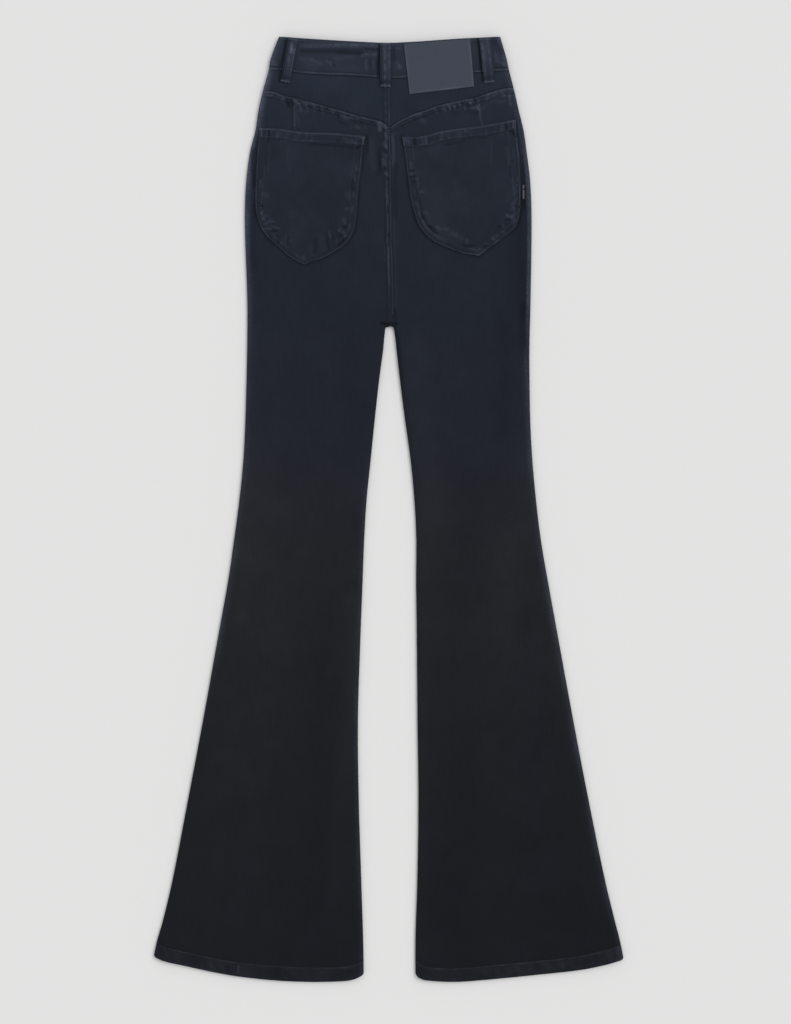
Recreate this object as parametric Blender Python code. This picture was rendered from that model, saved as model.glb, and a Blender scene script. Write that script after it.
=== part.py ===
"""High-waist flared jeans laid flat on their front, with the back uppermost.

Metres. X runs across the garment, Y from the hems to the waist, Z up from the surface it lies on.
Left and right are the wearer's, which are also the viewer's, because the back is seen.
"""

import math
from bisect import bisect_right

import bmesh
import bpy

# Cloth and sewing
DENIM = 0.0012
BAND_DENIM = 0.0022
GAP = 0.0003
LAID_ON = 0.0004
FELL_WIDTH = 0.0065
FELL_RISE = 0.0008
YOKE_FELL = 0.0060
YOKE_FELL_RISE = 0.0006
HEM_BAND = 0.0170
HEM_RISE = 0.0008
STEP_RUN = 0.0012
RIM_REACH = 0.0450
BAND_EASE = 0.0160

# Where the main seams lie
SEAM_X = 0.0025
CROTCH_Y = 0.2335
CROTCH_CURL_TOP = 0.2420
CROTCH_CURL_FOOT = 0.2190

# Heights over the surface the garment lies on
BAND_UNDER = 0.0021
BAND_OVER = 0.0076
FRONT_LIFT_START = 0.4600
FRONT_LIFT_END = 0.4950
FRONT_DIP = 0.0320
FRONT_DIP_POWER = 1.3

# Rolled edges, as widths seen from above
INSEAM_ROLL = 0.0070
SIDE_ROLL = 0.0075

# Side edges: level, left, right
SIDES = (
    (-0.5610, -0.2944, 0.2938),
    (-0.5380, -0.2893, 0.2890),
    (-0.5130, -0.2820, 0.2825),
    (-0.4630, -0.2703, 0.2705),
    (-0.3630, -0.2510, 0.2500),
    (-0.2630, -0.2321, 0.2308),
    (-0.1630, -0.2141, 0.2125),
    (-0.0880, -0.2006, 0.1989),
    (-0.0380, -0.1934, 0.1904),
    (0.0120, -0.1868, 0.1843),
    (0.0620, -0.1818, 0.1798),
    (0.1120, -0.1793, 0.1771),
    (0.1990, -0.1771, 0.1761),
    (0.2620, -0.1769, 0.1775),
    (0.3620, -0.1800, 0.1788),
    (0.4120, -0.1781, 0.1769),
    (0.4490, -0.1730, 0.1724),
    (0.4740, -0.1666, 0.1688),
    (0.4990, -0.1628, 0.1626),
    (0.5240, -0.1571, 0.1570),
    (0.5490, -0.1501, 0.1505),
    (0.5620, -0.1480, 0.1478),
    (0.5908, -0.1373, 0.1395),
)

# Inseam edges below the crotch: level, left, right
INSEAMS = (
    (-0.5910, -0.0310, 0.0335),
    (-0.5380, -0.0319, 0.0334),
    (-0.4630, -0.0343, 0.0358),
    (-0.3630, -0.0374, 0.0371),
    (-0.2630, -0.0384, 0.0359),
    (-0.1630, -0.0354, 0.0351),
    (-0.0880, -0.0325, 0.0343),
    (-0.0380, -0.0306, 0.0345),
    (0.0120, -0.0276, 0.0321),
    (0.0620, -0.0225, 0.0273),
    (0.1120, -0.0174, 0.0204),
    (0.1620, -0.0119, 0.0140),
    (0.1990, -0.0066, 0.0098),
    (0.2160, -0.0040, 0.0080),
    (0.2290, -0.0009, 0.0057),
    (0.2335, 0.0023, 0.0027),
)

# Hem edges: x, level
LEFT_HEM = (
    (-0.2940, -0.5570),
    (-0.2850, -0.5633),
    (-0.2610, -0.5695),
    (-0.2010, -0.5820),
    (-0.1500, -0.5883),
    (-0.1000, -0.5908),
    (-0.0600, -0.5900),
    (-0.0460, -0.5883),
    (-0.0380, -0.5852),
    (-0.0310, -0.5795),
)
RIGHT_HEM = (
    (0.0335, -0.5795),
    (0.0390, -0.5858),
    (0.0450, -0.5885),
    (0.0800, -0.5908),
    (0.1170, -0.5886),
    (0.1850, -0.5820),
    (0.2405, -0.5758),
    (0.2710, -0.5695),
    (0.2890, -0.5640),
    (0.2938, -0.5600),
)

# Yoke seam, a shallow V: x, level
YOKE_SEAM = (
    (-0.1590, 0.5222),
    (-0.1534, 0.5226),
    (-0.1434, 0.5215),
    (-0.1359, 0.5186),
    (-0.1134, 0.5130),
    (-0.0796, 0.5039),
    (-0.0546, 0.4968),
    (-0.0309, 0.4901),
    (-0.0109, 0.4853),
    (-0.0035, 0.4806),
    (0.0015, 0.4776),
    (0.0060, 0.4803),
    (0.0141, 0.4855),
    (0.0316, 0.4939),
    (0.0441, 0.4980),
    (0.0566, 0.5030),
    (0.0791, 0.5085),
    (0.1091, 0.5148),
    (0.1316, 0.5224),
    (0.1429, 0.5255),
    (0.1563, 0.5273),
)

# Waistband: its top edge and its seam to the yoke, each a shallow dip: x, level
BAND_TOP = (
    (-0.1373, 0.5909),
    (-0.0978, 0.5880),
    (-0.0346, 0.5843),
    (-0.0020, 0.5830),
    (0.0313, 0.5843),
    (0.0851, 0.5880),
    (0.1395, 0.5908),
)
BAND_SEAM = (
    (-0.1509, 0.5493),
    (-0.1371, 0.5488),
    (-0.1109, 0.5454),
    (-0.0796, 0.5431),
    (-0.0484, 0.5422),
    (-0.0159, 0.5398),
    (0.0041, 0.5389),
    (0.0191, 0.5393),
    (0.0800, 0.5440),
    (0.1391, 0.5478),
    (0.1500, 0.5488),
)

# Back of the garment over the surface: level, mid-panel height, extra rise at the edges
BACK_HEIGHTS = (
    (-0.5910, 0.0044, 0.0010),
    (-0.1000, 0.0044, 0.0012),
    (0.2500, 0.0046, 0.0010),
    (0.4200, 0.0050, 0.0006),
    (0.5000, 0.0060, 0.0002),
    (0.5500, 0.0069, 0.0000),
)

# Middle of a panel, and the steps that settle where a column meets a seam
PANEL_MIDDLE = 0.1000
SETTLING_STEPS = 6

# Turn of the side seams round the edge, in degrees from the back face: level, left, right
SEAM_TURNS = (
    (-0.6000, 90.0, 90.0),
    (0.0800, 90.0, 90.0),
    (0.2100, 90.0, 20.0),
    (0.2800, 90.0, 14.0),
    (0.4500, 90.0, 14.0),
    (0.5050, 90.0, 50.0),
    (0.5400, 90.0, 90.0),
    (0.6000, 90.0, 90.0),
)

# Levels of the leg panels' plain rows
LEG_ROWS = (
    -0.535, -0.500, -0.450, -0.380, -0.300, -0.220, -0.140, -0.070, 0.000, 0.060, 0.110,
    0.155, 0.190, 0.210, 0.222, 0.229, 0.2335, 0.240, 0.262, 0.300, 0.345, 0.385, 0.420, 0.448,
)

# How finely the panels are divided: shares of the inner strip, then even steps
INNER_SHARES = (1.0, 0.72, 0.42, 0.08)
PANEL_COLUMNS = 5
SIDE_STEPS = 4
WRAPPED_SIDE_STEPS = 6
FRONT_HEAD_ROWS = 4
YOKE_ROWS = 3
BAND_ROWS = 2

# Pocket outlines: top edge, both sides and the round foot, in two runs that meet in its point
POCKETS = {
    "back_pocket_left": {
        "top": (
            (-0.1617, 0.4760), (-0.1346, 0.4751), (-0.1096, 0.4714), (-0.0671, 0.4700),
            (-0.0484, 0.4682), (-0.0290, 0.4664),
        ),
        "left": ((-0.1617, 0.4760), (-0.1640, 0.4492), (-0.1661, 0.4180), (-0.1674, 0.3867)),
        "right": (
            (-0.0290, 0.4664), (-0.0324, 0.4492), (-0.0337, 0.4330), (-0.0369, 0.4080), (-0.0394, 0.3767),
        ),
        "foot_left": (
            (-0.1674, 0.3867), (-0.1661, 0.3730), (-0.1609, 0.3542), (-0.1552, 0.3442),
            (-0.1484, 0.3367), (-0.1334, 0.3236), (-0.1234, 0.3149), (-0.1059, 0.3055),
        ),
        "foot_right": (
            (-0.1059, 0.3055), (-0.0971, 0.3092), (-0.0834, 0.3135), (-0.0671, 0.3224),
            (-0.0528, 0.3324), (-0.0440, 0.3467), (-0.0409, 0.3592), (-0.0394, 0.3767),
        ),
    },
    "back_pocket_right": {
        "top": (
            (0.0164, 0.4655), (0.0341, 0.4652), (0.0454, 0.4668), (0.0654, 0.4721), (0.0891, 0.4758),
            (0.1141, 0.4786), (0.1329, 0.4820), (0.1454, 0.4842), (0.1585, 0.4870),
        ),
        "left": ((0.0164, 0.4655), (0.0195, 0.4492), (0.0216, 0.4305), (0.0260, 0.3980), (0.0285, 0.3830)),
        "right": (
            (0.1585, 0.4870), (0.1604, 0.4643), (0.1635, 0.4368), (0.1649, 0.4055), (0.1646, 0.3780),
        ),
        "foot_left": (
            (0.0285, 0.3830), (0.0316, 0.3705), (0.0398, 0.3511), (0.0535, 0.3368),
            (0.0741, 0.3264), (0.0916, 0.3201), (0.1029, 0.3180), (0.1129, 0.3168),
        ),
        "foot_right": (
            (0.1129, 0.3168), (0.1204, 0.3226), (0.1316, 0.3308), (0.1429, 0.3393),
            (0.1566, 0.3505), (0.1626, 0.3630), (0.1646, 0.3780),
        ),
    },
}
POCKET_BAND = 0.0113
POCKET_BAND_RISE = 0.0009
POCKET_ROWS = 8
POCKET_COLUMNS = 13

# Belt loops: top middle, foot middle, width
BACK_LOOPS = {
    "belt_loop_back_left": ((-0.1195, 0.5888), (-0.1293, 0.5330), 0.0120),
    "belt_loop_back_centre": ((-0.0041, 0.5826), (-0.0041, 0.5272), 0.0131),
    "belt_loop_back_right": ((0.1197, 0.5890), (0.1259, 0.5324), 0.0138),
}
FRONT_LOOPS = {"belt_loop_front_left": -0.0650, "belt_loop_front_right": 0.0700}
LOOP_LENGTH = 0.0560
LOOP_WIDTH = 0.0130
LOOP_THICK = 0.0014
LOOP_SLACK = 0.0006
LOOP_ROWS = 7

# Patch corners, from the top left round to the bottom left
PATCH = ((0.0185, 0.5815), (0.1018, 0.5875), (0.1068, 0.5280), (0.0258, 0.5184))
PATCH_THICK = 0.0012
PATCH_CELLS = 6

# Side tab and button
TAB_X = (0.1671, 0.1692)
TAB_Y = (0.3880, 0.4055)
TAB_THICK = 0.0008
BUTTON_X = -0.0090
BUTTON_RADIUS = 0.0085
BUTTON_THICK = 0.0017
BUTTON_EDGE = 0.0004
BUTTON_SIDES = 32

# Edges sharper than this, in degrees, stay crisp
CREASE_ANGLE = 40.0

# Colours (linear), roughness and metallic value
FINISHES = {
    "denim_back": ((0.0180, 0.0205, 0.0290), 0.85, 0.0),
    "denim_front": ((0.0150, 0.0170, 0.0230), 0.85, 0.0),
    "denim_yoke": ((0.0210, 0.0250, 0.0360), 0.85, 0.0),
    "denim_band": ((0.0250, 0.0310, 0.0440), 0.85, 0.0),
    "denim_pocket": ((0.0190, 0.0220, 0.0310), 0.85, 0.0),
    "patch_leather": ((0.0560, 0.0650, 0.0890), 0.60, 0.0),
    "tab_weave": ((0.0400, 0.0430, 0.0520), 0.80, 0.0),
    "dark_metal": ((0.0600, 0.0600, 0.0650), 0.35, 1.0),
}


def clear_scene():
    for old in list(bpy.data.objects):
        bpy.data.objects.remove(old, do_unlink=True)


def slope_at(knots, values, i):
    before = max(i - 1, 0)
    after = min(i + 1, len(knots) - 1)
    return (values[after] - values[before]) / (knots[after] - knots[before])


def smooth_value(knots, values, at):
    """A cubic through the knots whose slopes come from each knot's neighbours."""
    at = min(max(at, knots[0]), knots[-1])
    i = min(max(bisect_right(knots, at) - 1, 0), len(knots) - 2)
    run = knots[i + 1] - knots[i]
    t = (at - knots[i]) / run
    start = slope_at(knots, values, i) * run
    end = slope_at(knots, values, i + 1) * run
    return (
        values[i] * (2 * t**3 - 3 * t**2 + 1)
        + start * (t**3 - 2 * t**2 + t)
        + values[i + 1] * (3 * t**2 - 2 * t**3)
        + end * (t**3 - t**2)
    )


def read(table, at, column=1):
    return smooth_value([row[0] for row in table], [row[column] for row in table], at)


def mix(a, b, share):
    return a + (b - a) * share


def ease(share):
    share = min(max(share, 0.0), 1.0)
    return share * share * (3 - 2 * share)


def side_column(side):
    return 1 if side < 0 else 2


def side_edge(side, y):
    return read(SIDES, y, side_column(side))


def inner_edge(side, y):
    """The centre seam above the crotch and the inseam below it."""
    if y >= CROTCH_Y:
        return SEAM_X + side * GAP / 2
    return read(INSEAMS, y, side_column(side))


def inner_curl(y):
    """0 where the centre seam lies flat, 1 where the inseam rolls under."""
    return 1 - ease((y - CROTCH_CURL_FOOT) / (CROTCH_CURL_TOP - CROTCH_CURL_FOOT))


def seam_turn(side, y):
    return math.radians(read(SEAM_TURNS, y, side_column(side)))


def front_under(y):
    return BAND_UNDER * ease((y - FRONT_LIFT_START) / (FRONT_LIFT_END - FRONT_LIFT_START))


def back_edge_height(y):
    return read(BACK_HEIGHTS, y, 1) + read(BACK_HEIGHTS, y, 2)


def middle_height(y):
    return (front_under(y) + back_edge_height(y)) / 2


def back_height(side, x, y):
    """Height of the back's outer face, a little higher near its rolled edges than mid-panel."""
    from_side = abs(side_edge(side, y) - x)
    rise = 1 - ease((from_side - SIDE_ROLL) / RIM_REACH)
    if y < CROTCH_Y:
        from_inseam = abs(x - inner_edge(side, y))
        rise = max(rise, (1 - ease((from_inseam - INSEAM_ROLL) / RIM_REACH)) * inner_curl(y))
    return read(BACK_HEIGHTS, y, 1) + rise * read(BACK_HEIGHTS, y, 2)


def rolled_edge(share, turn, curl, width, top, middle, thick):
    """Distance in from the edge and height, on the outer and the inner face, share of the way round."""
    angle = share * turn
    flat = width * (1 - share)
    inner_top = top - thick
    depth = abs(thick)
    outer = (
        mix(flat, width * (1 - math.sin(angle)), curl),
        mix(top, middle + (top - middle) * math.cos(angle), curl),
    )
    inner = (
        mix(flat, depth + (width - depth) * (1 - math.sin(angle)), curl),
        mix(inner_top, middle + (inner_top - middle) * math.cos(angle), curl),
    )
    return outer, inner


def turn_less_gap(turn, width, half):
    """The turn that stops half a gap short of the seam on the inner face."""
    along = math.hypot((width - DENIM) * math.cos(turn), (half - DENIM) * math.sin(turn))
    return turn - GAP / 2 / along


def fell_rise(side, from_inner, curl):
    """The felled centre seam stands up on the left panel."""
    if side > 0:
        return 0.0
    return FELL_RISE * (1 - ease((from_inner - FELL_WIDTH) / STEP_RUN)) * (1 - curl)


def panel_point(side, back, column, y, extra):
    """Outer and inner point of a leg or yoke panel. A column is a zone and a share across it."""
    zone, share = column
    edge = side_edge(side, y)
    inner = inner_edge(side, y)
    middle = middle_height(y)
    curl = inner_curl(y)
    turn = seam_turn(side, y)
    thick = DENIM if back else -DENIM

    def face_height(x):
        return back_height(side, x, y) if back else front_under(y)

    if zone == "middle":
        x = mix(inner + side * INSEAM_ROLL, edge - side * SIDE_ROLL, share)
        top = face_height(x)
        raised = extra + fell_rise(side, abs(x - inner), curl) if back else 0.0
        return (x, y, top + raised), (x, y, top - thick)
    if zone == "inner":
        top = face_height(inner + side * INSEAM_ROLL)
        half = abs(top - middle)
        around = turn_less_gap(math.pi / 2, INSEAM_ROLL, half)
        out, into = rolled_edge(share, around, curl, INSEAM_ROLL, top, middle, thick)
        start, way = inner, side
    else:
        top = face_height(edge - side * SIDE_ROLL)
        half = abs(top - middle)
        wanted = turn if back else math.pi - turn
        around = turn_less_gap(wanted, SIDE_ROLL, half)
        out, into = rolled_edge(share, around, 1.0, SIDE_ROLL, top, middle, thick)
        start, way = edge, -side
    raised = 0.0
    if back:
        raised = extra * (1 - share * (curl if zone == "inner" else 1.0))
        if zone == "inner":
            raised += fell_rise(side, out[0], curl)
    return (start + way * out[0], y, out[1] + raised), (start + way * into[0], y, into[1])


def panel_columns(side_steps):
    """Columns from the inner edge, across the panel, to the side edge."""
    inner = [("inner", share) for share in INNER_SHARES]
    middle = [("middle", i / PANEL_COLUMNS) for i in range(PANEL_COLUMNS + 1)]
    outer = [("outer", (i + 1) / side_steps) for i in range(side_steps)]
    return inner + middle + outer


def plan_x(side, column, y):
    """Where a column lies at a level, for finding the seam or hem level there."""
    zone, share = column
    if zone == "inner":
        return inner_edge(side, y) + side * INSEAM_ROLL * (1 - share)
    if zone == "outer":
        return side_edge(side, y) - side * SIDE_ROLL * (1 - share)
    return mix(inner_edge(side, y) + side * INSEAM_ROLL, side_edge(side, y) - side * SIDE_ROLL, share)


def level_on(line, side, column):
    """Level where a column meets a line that is given as levels by x."""
    y = line(side * PANEL_MIDDLE)
    for _ in range(SETTLING_STEPS):
        y = line(plan_x(side, column, y))
    return y


def hem_line(side):
    table = LEFT_HEM if side < 0 else RIGHT_HEM
    return lambda x: read(table, x)


def yoke_line(x):
    return read(YOKE_SEAM, x)


def front_dip(x):
    """How far the front of the waist lies below the back at this x."""
    reach = abs(side_edge(x, BAND_TOP[0][1]))
    return FRONT_DIP * math.cos(math.pi / 2 * min(abs(x) / reach, 1.0)) ** FRONT_DIP_POWER


def back_seam_line(x):
    return read(BAND_SEAM, x)


def back_top_line(x):
    return read(BAND_TOP, x)


def front_seam_line(x):
    return back_seam_line(x) - front_dip(x)


def front_top_line(x):
    return back_top_line(x) - front_dip(x)


def cloth(name, outer, inner, finish):
    """A closed wall between two grids of points that match one to one."""
    mesh = bpy.data.meshes.new(name)
    bm = bmesh.new()
    rows, columns = len(outer), len(outer[0])
    top = [[bm.verts.new(point) for point in row] for row in outer]
    under = [[bm.verts.new(point) for point in row] for row in inner]
    for grid in (top, under):
        for r in range(rows - 1):
            for c in range(columns - 1):
                bm.faces.new((grid[r][c], grid[r][c + 1], grid[r + 1][c + 1], grid[r + 1][c]))
    rim = [(0, c) for c in range(columns)] + [(r, columns - 1) for r in range(1, rows)]
    rim += [(rows - 1, c) for c in range(columns - 2, -1, -1)] + [(r, 0) for r in range(rows - 2, 0, -1)]
    for here, there in zip(rim, rim[1:] + rim[:1]):
        a, b = top[here[0]][here[1]], top[there[0]][there[1]]
        c, d = under[there[0]][there[1]], under[here[0]][here[1]]
        bm.faces.new((a, b, c, d))
    bmesh.ops.recalc_face_normals(bm, faces=bm.faces)
    bm.to_mesh(mesh)
    bm.free()
    mesh.shade_smooth()
    mesh.set_sharp_from_angle(angle=math.radians(CREASE_ANGLE))
    return add_part(name, mesh, finish)


def finish_material(finish):
    material = bpy.data.materials.get(finish)
    if material is None:
        colour, roughness, metallic = FINISHES[finish]
        material = bpy.data.materials.new(finish)
        material.use_nodes = True
        shader = material.node_tree.nodes["Principled BSDF"]
        shader.inputs["Base Color"].default_value = (*colour, 1.0)
        shader.inputs["Roughness"].default_value = roughness
        shader.inputs["Metallic"].default_value = metallic
        material.diffuse_color = (*colour, 1.0)
    return material


def add_part(name, mesh, finish):
    mesh.materials.append(finish_material(finish))
    part = bpy.data.objects.new(name, mesh)
    bpy.context.scene.collection.objects.link(part)
    return part


def grids(points):
    """Splits rows of (outer, inner) pairs into two grids."""
    return [[p[0] for p in row] for row in points], [[p[1] for p in row] for row in points]


def leg_panel(name, side, back, finish):
    """A leg from its hem to the yoke seam, or on the front to the waistband."""
    wrapped = not back and side > 0
    sheet = []
    for column in panel_columns(WRAPPED_SIDE_STEPS if wrapped else SIDE_STEPS):
        hem = level_on(hem_line(side), side, column)
        if back:
            top = level_on(yoke_line, side, column) - GAP / 2
            heads = [
                (mix(LEG_ROWS[-1], top - YOKE_FELL - STEP_RUN, 0.5), 0.0),
                (top - YOKE_FELL - STEP_RUN, 0.0),
                (top - YOKE_FELL, YOKE_FELL_RISE),
                (top, YOKE_FELL_RISE),
            ]
        else:
            top = level_on(front_seam_line, side, column) - GAP / 2
            steps = range(1, FRONT_HEAD_ROWS + 1)
            heads = [(mix(LEG_ROWS[-1], top, i / FRONT_HEAD_ROWS), 0.0) for i in steps]
        feet = [(hem, HEM_RISE), (hem + HEM_BAND, HEM_RISE), (hem + HEM_BAND + STEP_RUN, 0.0)]
        levels = feet + [(y, 0.0) for y in LEG_ROWS] + heads
        sheet.append([panel_point(side, back, column, y, extra) for y, extra in levels])
    return cloth(name, *grids(list(zip(*sheet))), finish)


def yoke_panel(name, side, finish):
    """The yoke between its V seam and the waistband."""
    sheet = []
    for column in panel_columns(SIDE_STEPS):
        foot = level_on(yoke_line, side, column) + GAP / 2
        head = level_on(back_seam_line, side, column) - GAP / 2
        levels = [mix(foot, head, i / YOKE_ROWS) for i in range(YOKE_ROWS + 1)]
        sheet.append([panel_point(side, True, column, y, 0.0) for y in levels])
    return cloth(name, *grids(list(zip(*sheet))), finish)


def band_half(name, side, finish):
    """Half the waistband: across the back, round the side fold and across the front."""
    middle = (BAND_OVER + BAND_UNDER) / 2
    half = (BAND_OVER - BAND_UNDER) / 2
    across = panel_columns(SIDE_STEPS)
    sheet = []
    for column, facing in [(c, 1) for c in across] + [(c, -1) for c in across[-2::-1]]:
        angle = column[1] * math.pi / 2 if column[0] == "outer" else 0.0
        foot = level_on(back_seam_line if facing > 0 else front_seam_line, side, column) + GAP / 2
        head = level_on(back_top_line if facing > 0 else front_top_line, side, column)
        strip = []
        for i in range(BAND_ROWS + 1):
            y = mix(foot, head, i / BAND_ROWS)
            out_x = within_x = plan_x(side, column, y)
            if column[0] == "outer":
                turned = 1 - math.sin(angle)
                out_x = side_edge(side, y) - side * SIDE_ROLL * turned
                within_x = side_edge(side, y) - side * mix(BAND_DENIM, SIDE_ROLL, turned)
            out = (out_x, y, middle + facing * half * math.cos(angle))
            strip.append((out, (within_x, y, middle + facing * (half - BAND_DENIM) * math.cos(angle))))
        sheet.append(strip)
    return cloth(name, *grids(list(zip(*sheet))), finish)


def cover_height(x, y):
    """What loops, pockets and the patch lie on: the waistband, easing down on to the yoke."""
    side = -1 if x < SEAM_X else 1
    below = (read(BAND_SEAM, x) - y) / BAND_EASE
    from_fell = abs(x - SEAM_X + FELL_WIDTH / 2)
    over_fell = FELL_RISE * (1 - ease((from_fell - LOOP_WIDTH) / FELL_WIDTH))
    panel = back_height(side, x, y) + over_fell
    return mix(BAND_OVER, panel, min(max(below, 0.0), 1.0))


def line_point(points, share):
    """A point share of the way along a smooth curve through the points."""
    lengths = [0.0]
    for a, b in zip(points, points[1:]):
        lengths.append(lengths[-1] + math.dist(a, b))
    at = share * lengths[-1]
    return tuple(smooth_value(lengths, [p[i] for p in points], at) for i in (0, 1))


def curve_length(points):
    return sum(math.dist(a, b) for a, b in zip(points, points[1:]))


def foot_point(outline, u):
    """A point along the foot, whose sharp tip falls on one of the columns."""
    before, after = outline["foot_left"], outline["foot_right"]
    steps = POCKET_COLUMNS - 1
    tip = round(steps * curve_length(before) / (curve_length(before) + curve_length(after))) / steps
    if u <= tip:
        return line_point(before, u / tip)
    return line_point(after, (u - tip) / (1 - tip))


def pocket_plan(outline):
    """Rows of plan points: the hem band first, then a patch blended from the four edges."""
    left, right = outline["left"], outline["right"]
    left_start = POCKET_BAND / curve_length(left)
    right_start = POCKET_BAND / curve_length(right)
    columns = [c / (POCKET_COLUMNS - 1) for c in range(POCKET_COLUMNS)]

    def blend(u, v):
        top = band_point(u, 1.0)
        foot = foot_point(outline, u)
        on_left = line_point(left, mix(left_start, 1.0, v))
        on_right = line_point(right, mix(right_start, 1.0, v))
        corners = (band_point(0, 1.0), band_point(1, 1.0), left[-1], right[-1])
        return tuple(
            mix(top[i], foot[i], v) + mix(on_left[i], on_right[i], u)
            - mix(mix(corners[0][i], corners[1][i], u), mix(corners[2][i], corners[3][i], u), v)
            for i in (0, 1)
        )

    def band_point(u, share):
        top = line_point(outline["top"], u)
        on_left = line_point(left, left_start * share)
        on_right = line_point(right, right_start * share)
        shift = [
            mix(on_left[i] - left[0][i], on_right[i] - right[0][i], u) for i in (0, 1)
        ]
        return (top[0] + shift[0], top[1] + shift[1])

    band = [[band_point(u, share) for u in columns] for share in (0.0, 1 - STEP_RUN / POCKET_BAND)]
    body = [[blend(u, i / POCKET_ROWS) for u in columns] for i in range(POCKET_ROWS + 1)]
    return band, body


def pocket(name, finish):
    band, body = pocket_plan(POCKETS[name])
    sheet = []
    for rows, rise in ((band, POCKET_BAND_RISE), (body, 0.0)):
        for row in rows:
            under = [(x, y, cover_height(x, y) + LAID_ON) for x, y in row]
            sheet.append([((x, y, z + DENIM + rise), (x, y, z)) for x, y, z in under])
    return cloth(name, *grids(sheet), finish)


def belt_loop(name, top, foot, width, face, finish):
    """A strip from the waistband's top edge down over its seam, with a little slack for the belt."""
    lean = math.atan2(top[0] - foot[0], top[1] - foot[1])
    across = (math.cos(lean) * width / 2, -math.sin(lean) * width / 2)
    sheet = []
    for i in range(LOOP_ROWS):
        share = i / (LOOP_ROWS - 1)
        x, y = mix(foot[0], top[0], share), mix(foot[1], top[1], share)
        slack = LOOP_SLACK * math.sin(math.pi * share)
        ends = [(x - across[0], y - across[1]), (x + across[0], y + across[1])]
        sheet.append([face(px, py, slack) for px, py in ends])
    return cloth(name, *grids(sheet), finish)


def back_loop_face(x, y, slack):
    under = cover_height(x, y) + LAID_ON + slack
    return (x, y, under + LOOP_THICK), (x, y, under)


def front_loop_face(x, y, slack):
    over = BAND_UNDER - LAID_ON - slack / 2
    return (x, y, 0.0), (x, y, over)


def patch(name, finish):
    top_left, top_right, foot_right, foot_left = PATCH
    sheet = []
    for r in range(PATCH_CELLS + 1):
        v = r / PATCH_CELLS
        row = []
        for c in range(PATCH_CELLS + 1):
            u = c / PATCH_CELLS
            foot = [mix(foot_left[i], foot_right[i], u) for i in (0, 1)]
            head = [mix(top_left[i], top_right[i], u) for i in (0, 1)]
            x, y = mix(foot[0], head[0], v), mix(foot[1], head[1], v)
            under = cover_height(x, y) + LAID_ON
            row.append(((x, y, under + PATCH_THICK), (x, y, under)))
        sheet.append(row)
    return cloth(name, *grids(sheet), finish)


def side_tab(name, finish):
    sheet = []
    for y in (TAB_Y[0], sum(TAB_Y) / 2, TAB_Y[1]):
        under = [(x, y, cover_height(x, y) + LAID_ON) for x in TAB_X]
        sheet.append([((x, y, z + TAB_THICK), (x, y, z)) for x, y, z in under])
    return cloth(name, *grids(sheet), finish)


def waist_button(name, finish):
    """A shank button's flat head, under the front end of the waistband."""
    y = (front_seam_line(BUTTON_X) + front_top_line(BUTTON_X)) / 2
    mesh = bpy.data.meshes.new(name)
    bm = bmesh.new()
    bmesh.ops.create_cone(
        bm, cap_ends=True, segments=BUTTON_SIDES, radius1=BUTTON_RADIUS, radius2=BUTTON_RADIUS,
        depth=BUTTON_THICK,
    )
    edges = [e for e in bm.edges if abs(e.verts[0].co.z - e.verts[1].co.z) < BUTTON_EDGE / 2]
    bmesh.ops.bevel(bm, geom=edges, offset=BUTTON_EDGE, segments=2, affect="EDGES")
    bmesh.ops.translate(bm, verts=bm.verts, vec=(BUTTON_X, y, BUTTON_THICK / 2))
    bm.to_mesh(mesh)
    bm.free()
    mesh.shade_smooth()
    mesh.set_sharp_from_angle(angle=math.radians(CREASE_ANGLE))
    return add_part(name, mesh, finish)


def build():
    clear_scene()
    for side, word in ((-1, "left"), (1, "right")):
        leg_panel(f"back_leg_{word}", side, True, "denim_back")
        leg_panel(f"front_leg_{word}", side, False, "denim_front")
        yoke_panel(f"back_yoke_{word}", side, "denim_yoke")
        band_half(f"waistband_{word}", side, "denim_band")
    for name in POCKETS:
        pocket(name, "denim_pocket")
    for name, (top, foot, width) in BACK_LOOPS.items():
        belt_loop(name, top, foot, width, back_loop_face, "denim_band")
    for name, x in FRONT_LOOPS.items():
        top = front_top_line(x)
        belt_loop(name, (x, top), (x, top - LOOP_LENGTH), LOOP_WIDTH, front_loop_face, "denim_band")
    patch("waist_patch", "patch_leather")
    side_tab("side_tab", "tab_weave")
    waist_button("waist_button", "dark_metal")


build()
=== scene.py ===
import math

import bpy
import numpy as np
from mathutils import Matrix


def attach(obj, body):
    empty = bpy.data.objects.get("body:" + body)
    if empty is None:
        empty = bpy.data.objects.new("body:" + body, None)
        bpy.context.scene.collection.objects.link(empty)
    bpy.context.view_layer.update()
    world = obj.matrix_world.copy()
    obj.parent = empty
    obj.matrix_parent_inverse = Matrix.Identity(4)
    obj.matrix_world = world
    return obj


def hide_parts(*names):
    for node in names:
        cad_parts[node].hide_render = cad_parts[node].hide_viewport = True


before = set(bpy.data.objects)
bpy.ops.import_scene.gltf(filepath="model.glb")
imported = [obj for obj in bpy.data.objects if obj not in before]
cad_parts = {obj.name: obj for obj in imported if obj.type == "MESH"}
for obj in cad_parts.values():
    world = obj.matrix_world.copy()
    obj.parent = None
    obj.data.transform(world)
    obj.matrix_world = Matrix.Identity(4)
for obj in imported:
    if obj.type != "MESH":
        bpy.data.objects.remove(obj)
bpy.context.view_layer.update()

# Flared jeans lying on their front, seen from the back. Metres, X across, Y towards the waist, Z up.

print("outline")

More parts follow.
